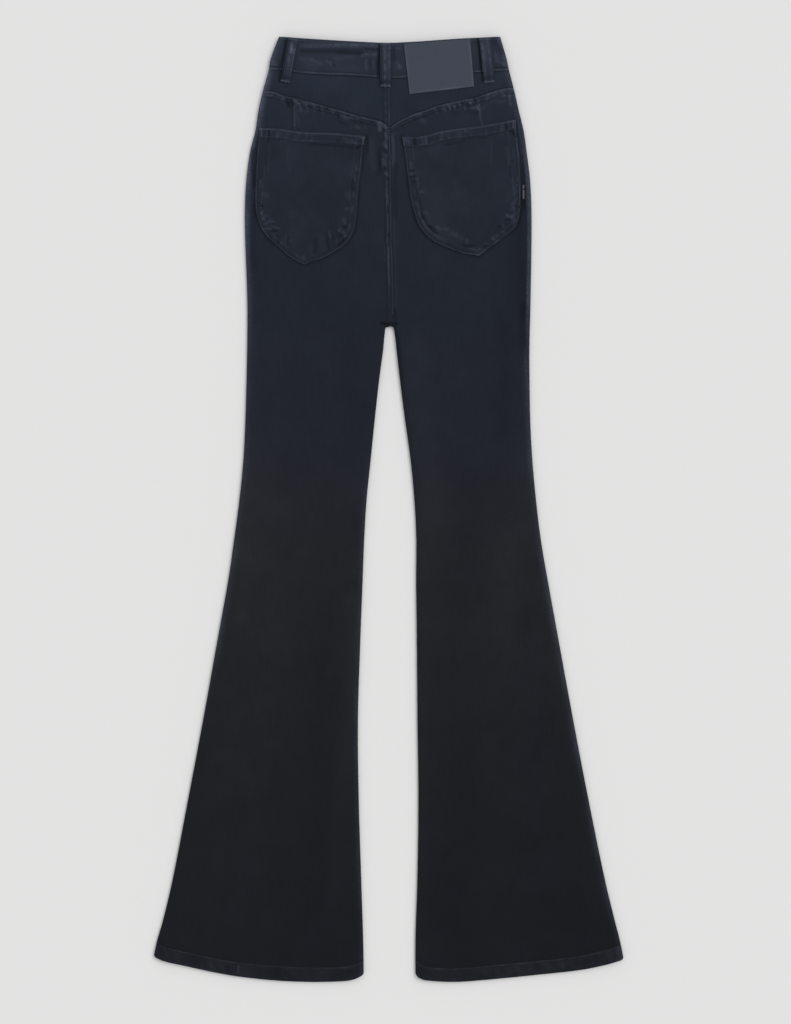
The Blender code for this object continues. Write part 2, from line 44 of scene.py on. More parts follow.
# side edges of the legs and hips: level, left, right
sideEdges = (
    (-0.5610, -0.2944, 0.2938),
    (-0.5380, -0.2893, 0.2890),
    (-0.5130, -0.2820, 0.2825),
    (-0.4630, -0.2703, 0.2705),
    (-0.3630, -0.2510, 0.2500),
    (-0.2630, -0.2321, 0.2308),
    (-0.1630, -0.2141, 0.2125),
    (-0.0880, -0.2006, 0.1989),
    (-0.0380, -0.1934, 0.1904),
    (0.0120, -0.1868, 0.1843),
    (0.0620, -0.1818, 0.1798),
    (0.1120, -0.1793, 0.1771),
    (0.1990, -0.1771, 0.1761),
    (0.2620, -0.1769, 0.1775),
    (0.3620, -0.1800, 0.1788),
    (0.4120, -0.1781, 0.1769),
    (0.4490, -0.1730, 0.1724),
    (0.4740, -0.1666, 0.1688),
    (0.4990, -0.1628, 0.1626),
    (0.5240, -0.1571, 0.1570),
    (0.5490, -0.1501, 0.1505),
    (0.5620, -0.1480, 0.1478),
    (0.5908, -0.1373, 0.1395),
)

# inseam edges below the crotch: level, left, right
inseamEdges = (
    (-0.5910, -0.0310, 0.0335),
    (-0.5380, -0.0319, 0.0334),
    (-0.4630, -0.0343, 0.0358),
    (-0.3630, -0.0374, 0.0371),
    (-0.2630, -0.0384, 0.0359),
    (-0.1630, -0.0354, 0.0351),
    (-0.0880, -0.0325, 0.0343),
    (-0.0380, -0.0306, 0.0345),
    (0.0120, -0.0276, 0.0321),
    (0.0620, -0.0225, 0.0273),
    (0.1120, -0.0174, 0.0204),
    (0.1620, -0.0119, 0.0140),
    (0.1990, -0.0069, 0.0098),
    (0.2118, -0.0058, 0.0085),
    (0.2200, -0.0050, 0.0074),
    (0.2260, -0.0042, 0.0065),
    (0.2278, -0.0031, 0.0056),
    (0.2290, 0.0022, 0.0036),
)

# hem edges: x, level
hemEdges = {
    -1: (
        (-0.2940, -0.5570),
        (-0.2850, -0.5633),
        (-0.2610, -0.5695),
        (-0.2010, -0.5820),
        (-0.1500, -0.5883),
        (-0.1000, -0.5908),
        (-0.0600, -0.5900),
        (-0.0460, -0.5883),
        (-0.0380, -0.5852),
        (-0.0310, -0.5795),
    ),
    1: (
        (0.0335, -0.5795),
        (0.0390, -0.5858),
        (0.0450, -0.5885),
        (0.0800, -0.5908),
        (0.1170, -0.5886),
        (0.1850, -0.5820),
        (0.2405, -0.5758),
        (0.2710, -0.5695),
        (0.2890, -0.5640),
        (0.2938, -0.5600),
    ),
}

# the yoke's V seam, the waistband's seam and its top edge: x, level
yokeSeam = (
    (-0.1590, 0.5222),
    (-0.1534, 0.5226),
    (-0.1434, 0.5215),
    (-0.1359, 0.5186),
    (-0.1134, 0.5130),
    (-0.0796, 0.5039),
    (-0.0546, 0.4968),
    (-0.0309, 0.4901),
    (-0.0109, 0.4853),
    (-0.0035, 0.4806),
    (0.0015, 0.4776),
    (0.0060, 0.4803),
    (0.0141, 0.4855),
    (0.0316, 0.4939),
    (0.0441, 0.4980),
    (0.0566, 0.5030),
    (0.0791, 0.5085),
    (0.1091, 0.5148),
    (0.1316, 0.5224),
    (0.1429, 0.5255),
    (0.1563, 0.5273),
)
bandSeam = (
    (-0.1509, 0.5493),
    (-0.1371, 0.5488),
    (-0.1109, 0.5454),
    (-0.0796, 0.5431),
    (-0.0484, 0.5422),
    (-0.0159, 0.5398),
    (0.0041, 0.5389),
    (0.0191, 0.5393),
    (0.0800, 0.5440),
    (0.1391, 0.5478),
    (0.1500, 0.5488),
)
bandTop = (
    (-0.1373, 0.5909),
    (-0.0978, 0.5880),
    (-0.0346, 0.5843),
    (-0.0020, 0.5830),
    (0.0313, 0.5843),
    (0.0851, 0.5880),
    (0.1395, 0.5908),
)

# centre back seam: level, x
centreSeam = (
    (0.2290, 0.0030),
    (0.2335, 0.0040),
    (0.2418, 0.0058),
    (0.2618, 0.0064),
    (0.2993, 0.0054),
    (0.3368, 0.0041),
    (0.3868, 0.0036),
    (0.4493, 0.0025),
    (0.5118, 0.0016),
    (0.5950, 0.0014),
)

# the back over the table: level, mid-panel height, extra rise at the edges
backHeights = (
    (-0.5910, 0.0044, 0.0010),
    (-0.1000, 0.0044, 0.0012),
    (0.2500, 0.0046, 0.0010),
    (0.4200, 0.0050, 0.0006),
    (0.5000, 0.0060, 0.0002),
    (0.5500, 0.0069, 0.0000),
)

# how far the side seams turn round the edge, in degrees: level, left, right
seamTurns = (
    (-0.6000, 90.0, 90.0),
    (0.0800, 90.0, 90.0),
    (0.2100, 90.0, 20.0),
    (0.2800, 90.0, 14.0),
    (0.4500, 90.0, 14.0),
    (0.5050, 90.0, 50.0),
    (0.5400, 90.0, 90.0),
    (0.6000, 90.0, 90.0),
)

# how much paler the outer and the inner edges are painted, partly rubbed wear and partly a painted sheen on
# the rolled edges, and below zero painted shade by the right inseam near the crotch: level, left, right
outerRims = (
    (-0.5900, 0.00, 0.45),
    (-0.3600, 0.00, 0.55),
    (-0.2400, 0.10, 0.60),
    (-0.1130, 0.75, 0.75),
    (0.0120, 0.55, 0.70),
    (0.1370, 0.40, 0.95),
    (0.2620, 0.65, 0.75),
    (0.3240, 0.95, 0.75),
    (0.4000, 1.50, 1.00),
    (0.4500, 1.90, 1.00),
    (0.5600, 1.10, 0.80),
)
innerRims = (
    (-0.5900, 0.34, 0.05),
    (0.0000, 0.34, 0.02),
    (0.0800, 0.05, -0.15),
    (0.1300, 0.00, -0.45),
    (0.1800, -0.05, -1.10),
    (0.2400, -0.05, -0.80),
)

lay = {
    "cloth": 0.0012,
    "bandCloth": 0.0022,
    "crotch": 0.2290,
    "curlTop": 0.2370,
    "curlFoot": 0.2140,
    "bandUnder": 0.0021,
    "bandOver": 0.0076,
    "liftStart": 0.4600,
    "liftEnd": 0.4950,
    "frontDip": 0.0320,
    "dipPower": 1.3,
    "inseamRoll": 0.0070,
    "sideRoll": 0.0075,
    "rimReach": 0.0450,
    "bandEase": 0.0160,
    "seamGap": 0.00012,
    "laidOn": 0.0004,
    "hipStrip": 0.0007,
    "crotchRise": 0.0022,
    "riseLevel": 0.2050,
    "riseReach": 0.0450,
    "stripFoot": (0.2050, 0.0400),
    "stripTop": (0.4650, 0.0500),
}
# the raised felled seam at the centre, under what lies across it
fellBed = {"seamX": 0.0025, "middle": 0.00325, "rise": 0.0008, "half": 0.0130, "ease": 0.0065}


def smoothCurve(table, at, column=1):
    rows = np.array(table, dtype=float)
    knots, values = rows[:, 0], rows[:, column]
    last = len(knots) - 1
    before = np.maximum(np.arange(last + 1) - 1, 0)
    after = np.minimum(np.arange(last + 1) + 1, last)
    slopes = (values[after] - values[before]) / (knots[after] - knots[before])
    at = np.clip(at, knots[0], knots[-1])
    i = np.clip(np.searchsorted(knots, at, side="right") - 1, 0, last - 1)
    run = knots[i + 1] - knots[i]
    t = (at - knots[i]) / run
    return (
        values[i] * (2 * t**3 - 3 * t**2 + 1)
        + slopes[i] * run * (t**3 - 2 * t**2 + t)
        + values[i + 1] * (3 * t**2 - 2 * t**3)
        + slopes[i + 1] * run * (t**3 - t**2)
    )


def mix(a, b, share):
    return a + (b - a) * share


def ease(share):
    share = np.clip(share, 0.0, 1.0)
    return share * share * (3 - 2 * share)


def hump(distance, width):
    return np.exp(-((distance / width) ** 2))


def line3(x, y, z):
    return np.stack([x, y, z], axis=-1)


def groove(distance):
    # where a row of stitches sinks into the cloth
    return hump(distance, 0.0005)


noiseGrid = {"cells": 61, "start": 300}


def softNoise(x, y, cell, seed):
    # smooth bumps about one cell wide, from -1 to 1
    cells, start = noiseGrid["cells"], noiseGrid["start"]
    table = np.random.default_rng(seed).uniform(-1, 1, (cells, cells))
    fx, fy = np.broadcast_arrays(np.asarray(x, float) / cell + start, np.asarray(y, float) / cell + start)
    ix, iy = np.floor(fx).astype(int), np.floor(fy).astype(int)
    tx, ty = ease(fx - ix), ease(fy - iy)
    left, right, low, high = ix % cells, (ix + 1) % cells, iy % cells, (iy + 1) % cells
    near = mix(table[left, low], table[right, low], tx)
    far = mix(table[left, high], table[right, high], tx)
    return mix(near, far, ty)


# broad and fine waves of the cloth and of its wear: strength, size
unevenRise = {
    "leg": ((0.00022, 0.060), (0.00011, 0.019)),
    "yoke": ((0.00016, 0.040), (0.00008, 0.013)),
    "band": ((0.00014, 0.030), (0.00007, 0.010)),
    "pocket": ((0.00020, 0.038), (0.00010, 0.014)),
}
unevenWear = {
    "leg": ((0.02, 0.034), (0.02, 0.014)),
    "pocket": ((0.08, 0.030), (0.06, 0.012)),
}


def uneven(x, y, waves, seed):
    return sum(strength * softNoise(x, y, size, seed + i) for i, (strength, size) in enumerate(waves))


def sideColumn(side):
    return 1 if side < 0 else 2


def sideEdge(side, y):
    return smoothCurve(sideEdges, y, sideColumn(side))


def innerEdge(side, y):
    # the centre back seam above the crotch, the inseam below it
    above = smoothCurve(centreSeam, y) + side * lay["seamGap"] / 2
    below = smoothCurve(inseamEdges, y, sideColumn(side))
    return np.where(y >= lay["crotch"], above, below)


def innerCurl(y):
    # how far the inner edge rolls under: not at all above the crotch, fully below it
    return 1 - ease((y - lay["curlFoot"]) / (lay["curlTop"] - lay["curlFoot"]))


def frontUnder(y):
    return lay["bandUnder"] * ease((y - lay["liftStart"]) / (lay["liftEnd"] - lay["liftStart"]))


def middleHeight(y):
    return (frontUnder(y) + smoothCurve(backHeights, y, 1) + smoothCurve(backHeights, y, 2)) / 2


def backHeight(side, x, y):
    # the back's level over the table: flat in the middle, fuller at the edges and the crotch
    fromSide = np.abs(sideEdge(side, y) - x)
    rise = 1 - ease((fromSide - lay["sideRoll"]) / lay["rimReach"])
    fromInner = np.abs(x - innerEdge(side, y))
    nearInner = (1 - ease((fromInner - lay["inseamRoll"]) / lay["rimReach"])) * innerCurl(y)
    nearInner = np.where(y < lay["crotch"], nearInner, 0.0)
    rise = np.maximum(rise, nearInner)
    standing = lay["crotchRise"] * hump(y - lay["riseLevel"], lay["riseReach"]) * nearInner
    return smoothCurve(backHeights, y, 1) + rise * smoothCurve(backHeights, y, 2) + standing


def frontDip(x):
    # the front waist hangs below the back one, most at the middle
    reach = np.where(x < 0, -bandTop[0][0], bandTop[-1][0])
    return lay["frontDip"] * np.cos(np.pi / 2 * np.minimum(np.abs(x) / reach, 1.0)) ** lay["dipPower"]


def yokeLine(x):
    return smoothCurve(yokeSeam, x)


def backSeamLine(x):
    return smoothCurve(bandSeam, x)


def backTopLine(x):
    return smoothCurve(bandTop, x)


def frontSeamLine(x):
    return backSeamLine(x) - frontDip(x)


def frontTopLine(x):
    return backTopLine(x) - frontDip(x)


print("seams and creases")

# creases and puckers listed in millimetres: start x, y, end x, y, half width, rise
# a rise below zero sinks the cloth and paints it darker, partly unfaded cloth and partly painted shade in
# the hollow; a rise above zero lifts it and paints it paler, partly wear and partly painted highlight
# in both yoke tables the last mark, dark and just under the band beside a loop's foot, is a painted shadow
# of that loop
yokeMarksLeft = (
    (-150.9, 521, -142.1, 519.8, 1.8, 0.60), (-139.6, 518, -129.6, 513.9, 1.5, 0.50),
    (-150.9, 516.8, -147.1, 516.4, 1.5, 0.40), (-133.4, 511.8, -132.1, 508, 1.5, 0.30),
    (-125.9, 509.2, -120.9, 509.2, 2.0, -0.60), (-125.9, 504.2, -120.9, 504.2, 1.8, -0.50),
    (-118.4, 511, -115.9, 509.9, 1.8, 0.80), (-115.9, 506.8, -112.1, 505.5, 1.9, 0.60),
    (-108.4, 509.2, -90.9, 504.2, 1.4, 0.50), (-100.9, 503.6, -95.9, 502.4, 1.4, -0.60),
    (-103.4, 506.8, -102.1, 501.8, 1.6, 0.50), (-100.9, 501.1, -98.4, 501.1, 1.2, 0.40),
    (-118.4, 500.5, -100.9, 496.8, 1.4, 0.35), (-84.6, 503, -82.1, 496.8, 2.5, 0.30),
    (-74.6, 500.1, -64.6, 498, 1.4, 0.40), (-63.4, 497.4, -45.9, 492.2, 1.2, 0.55),
    (-52.1, 492.4, -48.4, 491.8, 1.2, -0.60), (-60.9, 491.8, -49.6, 488.6, 1.5, 0.50),
    (-48.4, 489.2, -40.9, 486.8, 1.9, 0.40), (-45.9, 492, -33.4, 488.2, 1.2, 0.55),
    (-60.9, 484.9, -52.1, 481.1, 2.0, -0.40), (-34.6, 488, -34, 481.8, 1.5, -0.40),
    (-33.4, 488.6, -10.9, 483.5, 1.2, 0.60), (-23.4, 484.9, -18.4, 483, 1.5, -0.50),
    (-40.9, 478.6, -37.1, 477.4, 1.8, 0.40), (-11.5, 481.1, -10.9, 475.5, 2.8, 0.90),
    (-9.6, 482.4, -2.1, 476.8, 1.5, 0.60), (-32.1, 477.4, -28.4, 477.4, 1.2, 0.30),
    (-22.1, 460.5, -19.6, 426.8, 4.2, 0.15), (-27.1, 464.2, -26.5, 446.8, 1.5, -0.50),
    (-10.9, 451.8, -10.2, 421.8, 1.8, -0.45), (-13.4, 446.8, -12.7, 418, 1.8, -0.25),
    (-112.0, 507.0, -109.5, 500.0, 1.5, 0.45), (-95.0, 505.5, -92.0, 497.5, 1.5, 0.40),
    (-88.0, 503.5, -86.0, 497.5, 1.3, -0.45), (-79.0, 500.5, -76.0, 499.5, 1.5, -0.50),
    (-70.5, 499.0, -69.5, 495.0, 1.3, 0.45), (-64.0, 495.2, -62.0, 490.5, 1.5, -0.45),
    (-57.0, 490.6, -53.0, 487.5, 1.7, 0.45), (-43.0, 489.5, -41.0, 483.5, 1.3, -0.40),
    (-128.0, 512.5, -125.5, 506.0, 1.5, -0.50), (-136.5, 536.0, -135.0, 547.0, 2.2, -0.55),
)
yokeMarksRight = (
    (4.1, 477.8, 12.9, 483, 1.4, 0.60), (14.1, 484.2, 26.6, 490, 1.4, 0.50),
    (27.9, 491, 39.1, 494.2, 1.5, 0.70), (14.1, 481.8, 16.6, 478, 1.5, -0.30),
    (39.1, 490.5, 44.1, 491.1, 1.6, -0.35), (40.4, 494.9, 46.6, 496.8, 1.5, 0.40),
    (40.0, 487.5, 45.4, 484.2, 3.4, 0.28), (49.1, 498, 55.4, 500.1, 1.5, 0.50),
    (51.6, 497, 56.6, 497.8, 1.2, -0.30), (56.6, 501.4, 64.1, 503.8, 1.5, 0.40),
    (67.9, 504.2, 76.6, 506.1, 1.6, 0.70), (71.6, 503, 74.1, 499.2, 1.1, -0.40),
    (69.1, 501.8, 70.4, 496.8, 1.2, 0.35), (76, 504.2, 77.3, 499.2, 1.5, 0.60),
    (80.4, 504.2, 82.9, 503, 1.8, 0.50), (79.1, 507.5, 91.6, 509.4, 1.5, 0.50),
    (78.5, 503, 79.1, 498, 1.2, -0.50), (85.4, 506.1, 86, 501.8, 1.2, -0.50),
    (91, 508.5, 92.9, 506.1, 1.4, -0.60), (87.9, 507.4, 89.1, 503, 1.5, 0.50),
    (94.1, 504.2, 95.4, 500.5, 1.4, 0.45), (97.9, 507.4, 99.1, 504.2, 1.2, -0.55),
    (92.9, 510.7, 104.1, 512.2, 1.5, 0.55), (101.6, 508, 105.4, 508.6, 1.9, 0.35),
    (104.1, 500.7, 111.6, 501.4, 1.9, 0.80), (109.1, 506.8, 111.6, 501.8, 1.6, 0.50),
    (81.6, 494.9, 87.9, 494.2, 2.0, -0.30), (99.1, 497.4, 110.4, 496.8, 1.9, -0.40),
    (119.1, 516.8, 124.1, 518.4, 1.5, 0.40), (121.6, 515.5, 122.3, 511.8, 1.6, 0.30),
    (124.1, 518.5, 149.4, 523.9, 1.7, 0.60), (122.1, 513, 147.6, 518.2, 2.0, 0.34),
    (141.6, 521.8, 144.1, 516.8, 1.9, 0.40), (149.1, 520.5, 151.6, 516.8, 1.8, 0.40),
    (147.9, 524.2, 149.1, 518, 1.2, -0.30), (129.1, 509.2, 145.4, 509.9, 2.0, 0.25),
    (150.4, 525, 155.4, 524.8, 1.6, 0.50), (115.4, 499.2, 122.9, 506.1, 2.0, 0.20),
    (4.8, 466.8, 5.4, 430.5, 2.2, 0.30), (7.9, 430.5, 8.5, 368, 2.8, -0.28),
    (57.0, 500.0, 60.0, 495.5, 1.4, 0.45), (62.0, 502.0, 64.0, 497.5, 1.3, -0.45),
    (66.0, 499.8, 84.0, 501.2, 1.6, 0.30), (112.5, 512.0, 113.5, 486.0, 1.2, 0.30),
    (97.0, 509.5, 103.0, 506.5, 1.4, 0.50), (106.5, 513.5, 108.5, 507.0, 1.3, -0.45),
    (150.5, 517.0, 152.5, 505.0, 2.2, 0.45), (29.0, 487.5, 36.0, 489.0, 1.3, -0.40),
    (117.5, 537.0, 118.2, 547.0, 2.4, -0.60),
)
seamMarks = (
    (-5.9, 479.2, -0.9, 471.8, 2.2, 0.50), (-4.6, 469.2, -2.1, 464.2, 2.2, 0.70),
    (-5.2, 458, -3.4, 451.8, 2.4, 0.80), (-4.6, 448, -3.4, 446.8, 1.6, -0.50),
    (-5.9, 444.2, -4.6, 441.8, 1.9, 0.50), (-6.5, 436.8, -5.2, 430.5, 2.5, 0.70),
    (-4.6, 426.8, -3.4, 424.2, 1.6, -0.40), (-4, 420.5, -2.1, 417.4, 2.2, 0.80),
    (-2.1, 415.5, -1.5, 413, 1.4, -0.70), (-3.4, 411.8, -2.7, 406.8, 1.6, 0.40),
    (-3.4, 401.8, -2.7, 390.5, 1.9, 0.50), (-2.1, 390.5, -1.5, 380.5, 1.6, 0.45),
    (-1.5, 368, -1.1, 346.8, 1.2, 0.35), (0.4, 344.2, 0.4, 340.5, 1.4, -0.50),
    (-4.6, 349.2, -4, 340.5, 1.2, -0.25), (-2.1, 339.2, -1.5, 334.2, 1.6, 0.40),
    (-0.6, 326.8, 0.4, 299.2, 1.4, 0.50), (-4.6, 331.8, -4, 309.2, 1.2, 0.25),
    (-0.2, 296.8, 0.4, 281.8, 1.2, 0.50),
)
# the long dark marks just left of the three back loops, near x -12, 111 to 117 and -128 to -136, are painted
# shadows of the loops on the band
bandMarks = (
    (-108.4, 579.2, -13.4, 578.2, 2.5, 0.45), (-45.9, 579.2, -40.9, 579.2, 2.5, 0.50),
    (-65.9, 580.5, -63.4, 579.9, 2.0, 0.40), (-108.4, 573, -33.4, 571.1, 2.8, -0.55),
    (-63.4, 569.9, -35.9, 569.2, 2.2, -0.40), (-28.4, 574.9, -9.6, 574.9, 1.8, -0.50),
    (-110.9, 562.4, -96.0, 561.5, 2.6, 0.26), (-96.0, 561.1, -84.9, 557.2, 2.4, 0.28),
    (-78.4, 561.1, -70.9, 554.2, 1.3, 0.42), (-69, 554.9, -67.7, 553.6, 1.6, -0.60),
    (-33.4, 567.4, -27.1, 568, 2.0, 0.50), (-20.9, 568, -15.9, 568, 2.0, 0.50),
    (-28.4, 560.5, -27.7, 549.2, 1.5, 0.40), (-19.6, 558, -18.4, 551.8, 2.0, 0.30),
    (-23.4, 563, -22.7, 553, 1.4, -0.40), (-12.4, 580.0, -12.4, 539.2, 2.2, -0.80),
    (-65.9, 564.2, -45.9, 564.9, 3.0, 0.20), (10.4, 557.4, 14.8, 551.8, 1.8, 0.55),
    (9.1, 576.1, 14.1, 576.1, 1.5, 0.40), (6, 574.2, 6.6, 561.8, 2.2, -0.45),
    (132.9, 566.8, 135.4, 560.5, 3.0, 0.45), (139.1, 557.4, 146.6, 553.6, 2.0, 0.40),
    (130.4, 585.5, 141.6, 570.5, 3.5, -0.35), (111.0, 586.0, 116.6, 549.0, 2.6, -0.80),
    (-127.8, 586.0, -135.6, 549.0, 2.4, -0.75),
    (-143.4, 559.2, -140.9, 554.2, 2.2, 0.35), (-147.1, 553.2, -135.9, 553, 1.1, -0.50),
    (132.9, 552, 147.9, 552.5, 1.2, -0.50), (9.1, 551.1, 19.1, 551.1, 1.5, 0.20),
    (-106.0, 554.0, -30.0, 550.5, 5.0, 0.14), (-104.0, 581.5, -20.0, 580.0, 2.0, 0.25),
)
# the first two leg marks paint shade into the crotch crease and along the right leg's inner edge; the next
# three paint the shadow beside the raised seam strip on the right hip
legMarks = (
    (-9.5, 232.2, 8.8, 231.6, 2.0, -1.60), (7.2, 249.0, 11.6, 199.0, 1.8, -0.45),
    (169.6, 440.0, 169.0, 380.0, 3.6, -0.45), (166.5, 380.0, 166.0, 245.0, 8.0, -0.34),
    (168.6, 255.0, 167.0, 205.0, 4.0, -0.40), (-168.0, 380.0, -168.5, 300.0, 3.0, -0.20),
    (-168.6, 450.0, -169.0, 405.0, 2.2, -0.45), (-117.4, 503.0, -117.0, 480.0, 1.6, 0.18),
    (-112.6, 492.0, -112.4, 478.0, 2.0, 0.14), (-188.4, -571.0, -188.4, -580.0, 1.0, 0.40),
)
legFolds = (
    (-48.0, 215.0, -14.0, 223.0, 6.0, -0.26), (22.0, 222.0, 56.0, 208.0, 6.0, -0.24),
    (-60.0, 248.0, -12.0, 240.0, 7.5, 0.22), (18.0, 244.0, 70.0, 252.0, 8.0, 0.20),
    (-120.0, 290.0, -40.0, 268.0, 11.0, -0.18), (30.0, 275.0, 120.0, 300.0, 12.0, -0.20),
    (-150.0, 180.0, -60.0, 150.0, 15.0, 0.24), (50.0, 150.0, 150.0, 178.0, 16.0, 0.22),
    (-145.0, 70.0, -70.0, 35.0, 15.0, -0.36), (-165.0, 15.0, -100.0, -15.0, 13.0, 0.32),
    (70.0, 55.0, 138.0, 25.0, 14.0, -0.34), (60.0, -10.0, 125.0, -35.0, 12.0, 0.28),
    (-70.0, -150.0, -90.0, -430.0, 20.0, -0.55), (-135.0, -100.0, -185.0, -470.0, 24.0, 0.50),
    (80.0, -130.0, 85.0, -400.0, 21.0, -0.50), (148.0, -120.0, 195.0, -460.0, 24.0, 0.50),
    (202.0, -60.0, 232.0, -500.0, 14.0, -0.45), (-225.0, -300.0, -250.0, -520.0, 14.0, -0.35),
)
frontFolds = (
    (-80.0, 250.0, -15.0, 232.0, 6.0, -0.40), (20.0, 233.0, 85.0, 256.0, 6.5, -0.36),
    (-95.0, 285.0, -20.0, 260.0, 7.0, -0.26), (25.0, 264.0, 90.0, 293.0, 6.0, -0.30),
    (-150.0, 50.0, -80.0, 25.0, 13.0, -0.30), (75.0, 30.0, 140.0, 60.0, 13.0, -0.30),
)
# broad paler or darker areas, partly the cloth's uneven colour and partly painted light and shade, in the
# same order, with a share of brightness for the rise
toneBands = (
    (-172.0, 215.0, -190.0, -130.0, 14.0, 0.20), (-158.0, 70.0, -158.0, -60.0, 22.0, 0.14),
    (-150.0, 65.0, -152.0, 15.0, 22.0, 0.06), (-160.0, -70.0, -162.0, -150.0, 26.0, 0.09),
    (-192.0, -150.0, -225.0, -430.0, 30.0, 0.10), (-246.0, -480.0, -236.0, -570.0, 42.0, 0.12),
    (-175.0, -530.0, -172.0, -575.0, 22.0, 0.10), (-44.0, -110.0, -54.0, -330.0, 10.0, 0.22),
    (-60.0, -350.0, -66.0, -440.0, 16.0, 0.14), (-52.0, 205.0, -50.0, 120.0, 22.0, -0.08),
    (-78.0, -100.0, -74.0, -250.0, 16.0, -0.07), (-95.0, -180.0, -88.0, -540.0, 22.0, -0.09),
    (-130.0, 240.0, -150.0, 120.0, 26.0, 0.05), (36.0, 205.0, 50.0, 0.0, 20.0, 0.18),
    (52.0, 10.0, 50.0, -60.0, 16.0, 0.10), (100.0, 30.0, 92.0, -110.0, 28.0, -0.12),
    (88.0, -290.0, 88.0, -520.0, 26.0, -0.14), (172.0, -140.0, 190.0, -300.0, 18.0, -0.10),
    (184.0, -300.0, 192.0, -480.0, 34.0, -0.15), (166.0, 90.0, 176.0, -30.0, 17.0, 0.13),
    (146.0, -40.0, 148.0, -180.0, 20.0, 0.12), (205.0, -130.0, 252.0, -390.0, 10.0, 0.13),
    (42.0, -60.0, 44.0, -560.0, 8.0, 0.10), (238.0, -490.0, 246.0, -560.0, 26.0, -0.09),
    (143.0, 240.0, 141.0, 90.0, 12.0, -0.11), (156.0, 350.0, 155.0, 215.0, 13.0, -0.10),
    (62.0, 510.0, 25.0, 503.0, 11.0, -0.08), (88.0, 430.0, 88.0, 380.0, 44.0, 0.10),
    (-157.0, 398.0, -156.0, 362.0, 7.0, 0.12), (45.0, 415.0, 47.0, 365.0, 8.0, 0.10),
    (62.0, 350.0, 88.0, 338.0, 10.0, 0.09), (150.0, 392.0, 154.0, 372.0, 9.0, 0.13),
)


def capsule(mark, x, y):
    # 1 along the line of a mark, fading to 0 over its half width; long marks sway a little
    x0, y0, x1, y1, width = (v / 1000 for v in mark[:5])
    runX, runY = x1 - x0, y1 - y0
    length = max(math.hypot(runX, runY), 0.0001)
    along = np.clip(((x - x0) * runX + (y - y0) * runY) / length**2, 0, 1)
    sway = 0.30 * width * np.sin(4.7 * along + 9 * mark[0]) if length > 6 * width else 0.0
    offX = x - x0 - along * runX + sway * runY / length
    offY = y - y0 - along * runY - sway * runX / length
    away = (offX**2 + offY**2) / width**2
    return np.exp(-(away**1.5 if width < 0.004 else away))


def marksAt(x, y, marks):
    # what the marks of one table add up to
    return sum((mark[5] * capsule(mark, x, y) for mark in marks), np.zeros_like(x))


def marksRelief(marks, x, y, toneShare=1.25):
    # the rise of the listed marks and how much paler or darker they are
    # below zero the tone is painted darker, partly unfaded cloth and partly painted shade; above zero paler,
    # partly wear and partly painted highlight
    rise = marksAt(x, y, marks)
    return rise / 1000, rise * toneShare * np.where(rise < 0, 1.3, 0.9)


# stretches of the pockets' rows where the thread and the edge have gone dull
dullRows = (
    (-141.0, 331.0, -97.0, 314.0, 6.0, -0.80), (-47.4, 376.0, -47.6, 362.0, 2.2, -0.50),
    (-48.5, 358.0, -56.3, 339.0, 2.2, -0.65), (-56.3, 339.0, -90.0, 318.5, 2.2, -0.65),
    (121.0, 333.5, 154.0, 358.0, 2.4, -0.60), (140.0, 339.5, 159.0, 356.0, 3.0, -0.70),
    (159.0, 356.0, 163.5, 372.0, 3.0, -0.60), (70.0, 338.0, 104.0, 326.0, 2.2, -0.50),
)


def gathers(along, across, pitch, seed, slant=0.5):
    # short uneven puckers that a row of stitches draws up, 0 to 1
    # where the puckers feed the wear layer, their crests are painted paler and their hollows darker, partly
    # wear and partly painted light and shade
    phase = along / pitch + slant * across / pitch
    phase = phase + 0.9 * softNoise(along, across * 0, pitch * 3.1, seed)
    wave = 0.5 + 0.5 * np.cos(2 * np.pi * phase)
    strength = 0.5 + 0.8 * softNoise(along, across * 0.4, pitch * 2.2, seed + 1)
    return wave**1.3 * np.clip(strength, 0.0, 1.1)


fell = {
    "width": 0.0072,
    "rise": 0.00075,
    "step": 0.0010,
    "firstRow": 0.0014,
    "secondRow": 0.0060,
    "groove": 0.00018,
    "pitch": 0.0110,
    "gather": 0.00035,
    # paler above zero, darker below, here and in the other pieces' values
    "edgeWear": 0.24,
    "gatherWear": 0.24,
    "firstRowWear": -0.26,
    "secondRowWear": 0.04,
    "besidePaintedShade": -0.30,
}
yokeFell = dict(
    fell, width=0.0062, rise=0.00060, firstRow=0.0013, secondRow=0.0052, pitch=0.0082, gather=0.00030
)
hemFold = {
    "row": 0.0168,
    "drift": 0.0009,
    "rise": 0.00060,
    "groove": 0.00022,
    "pitch": 0.0140,
    "gather": 0.00028,
    "ropePitch": 0.0230,
    "foldWear": 0.20,
    "rowWear": 0.30,
    "aboveWear": -0.30,
    "gatherWear": 0.16,
    "edgeWear": 0.25,
}
# how strongly the centre seam is drawn up: level, share
seamPull = (
    (0.2400, 0.15), (0.3300, 0.20), (0.3450, 0.50), (0.3600, 0.20), (0.3900, 0.35), (0.4100, 1.0),
    (0.5400, 1.0),
)


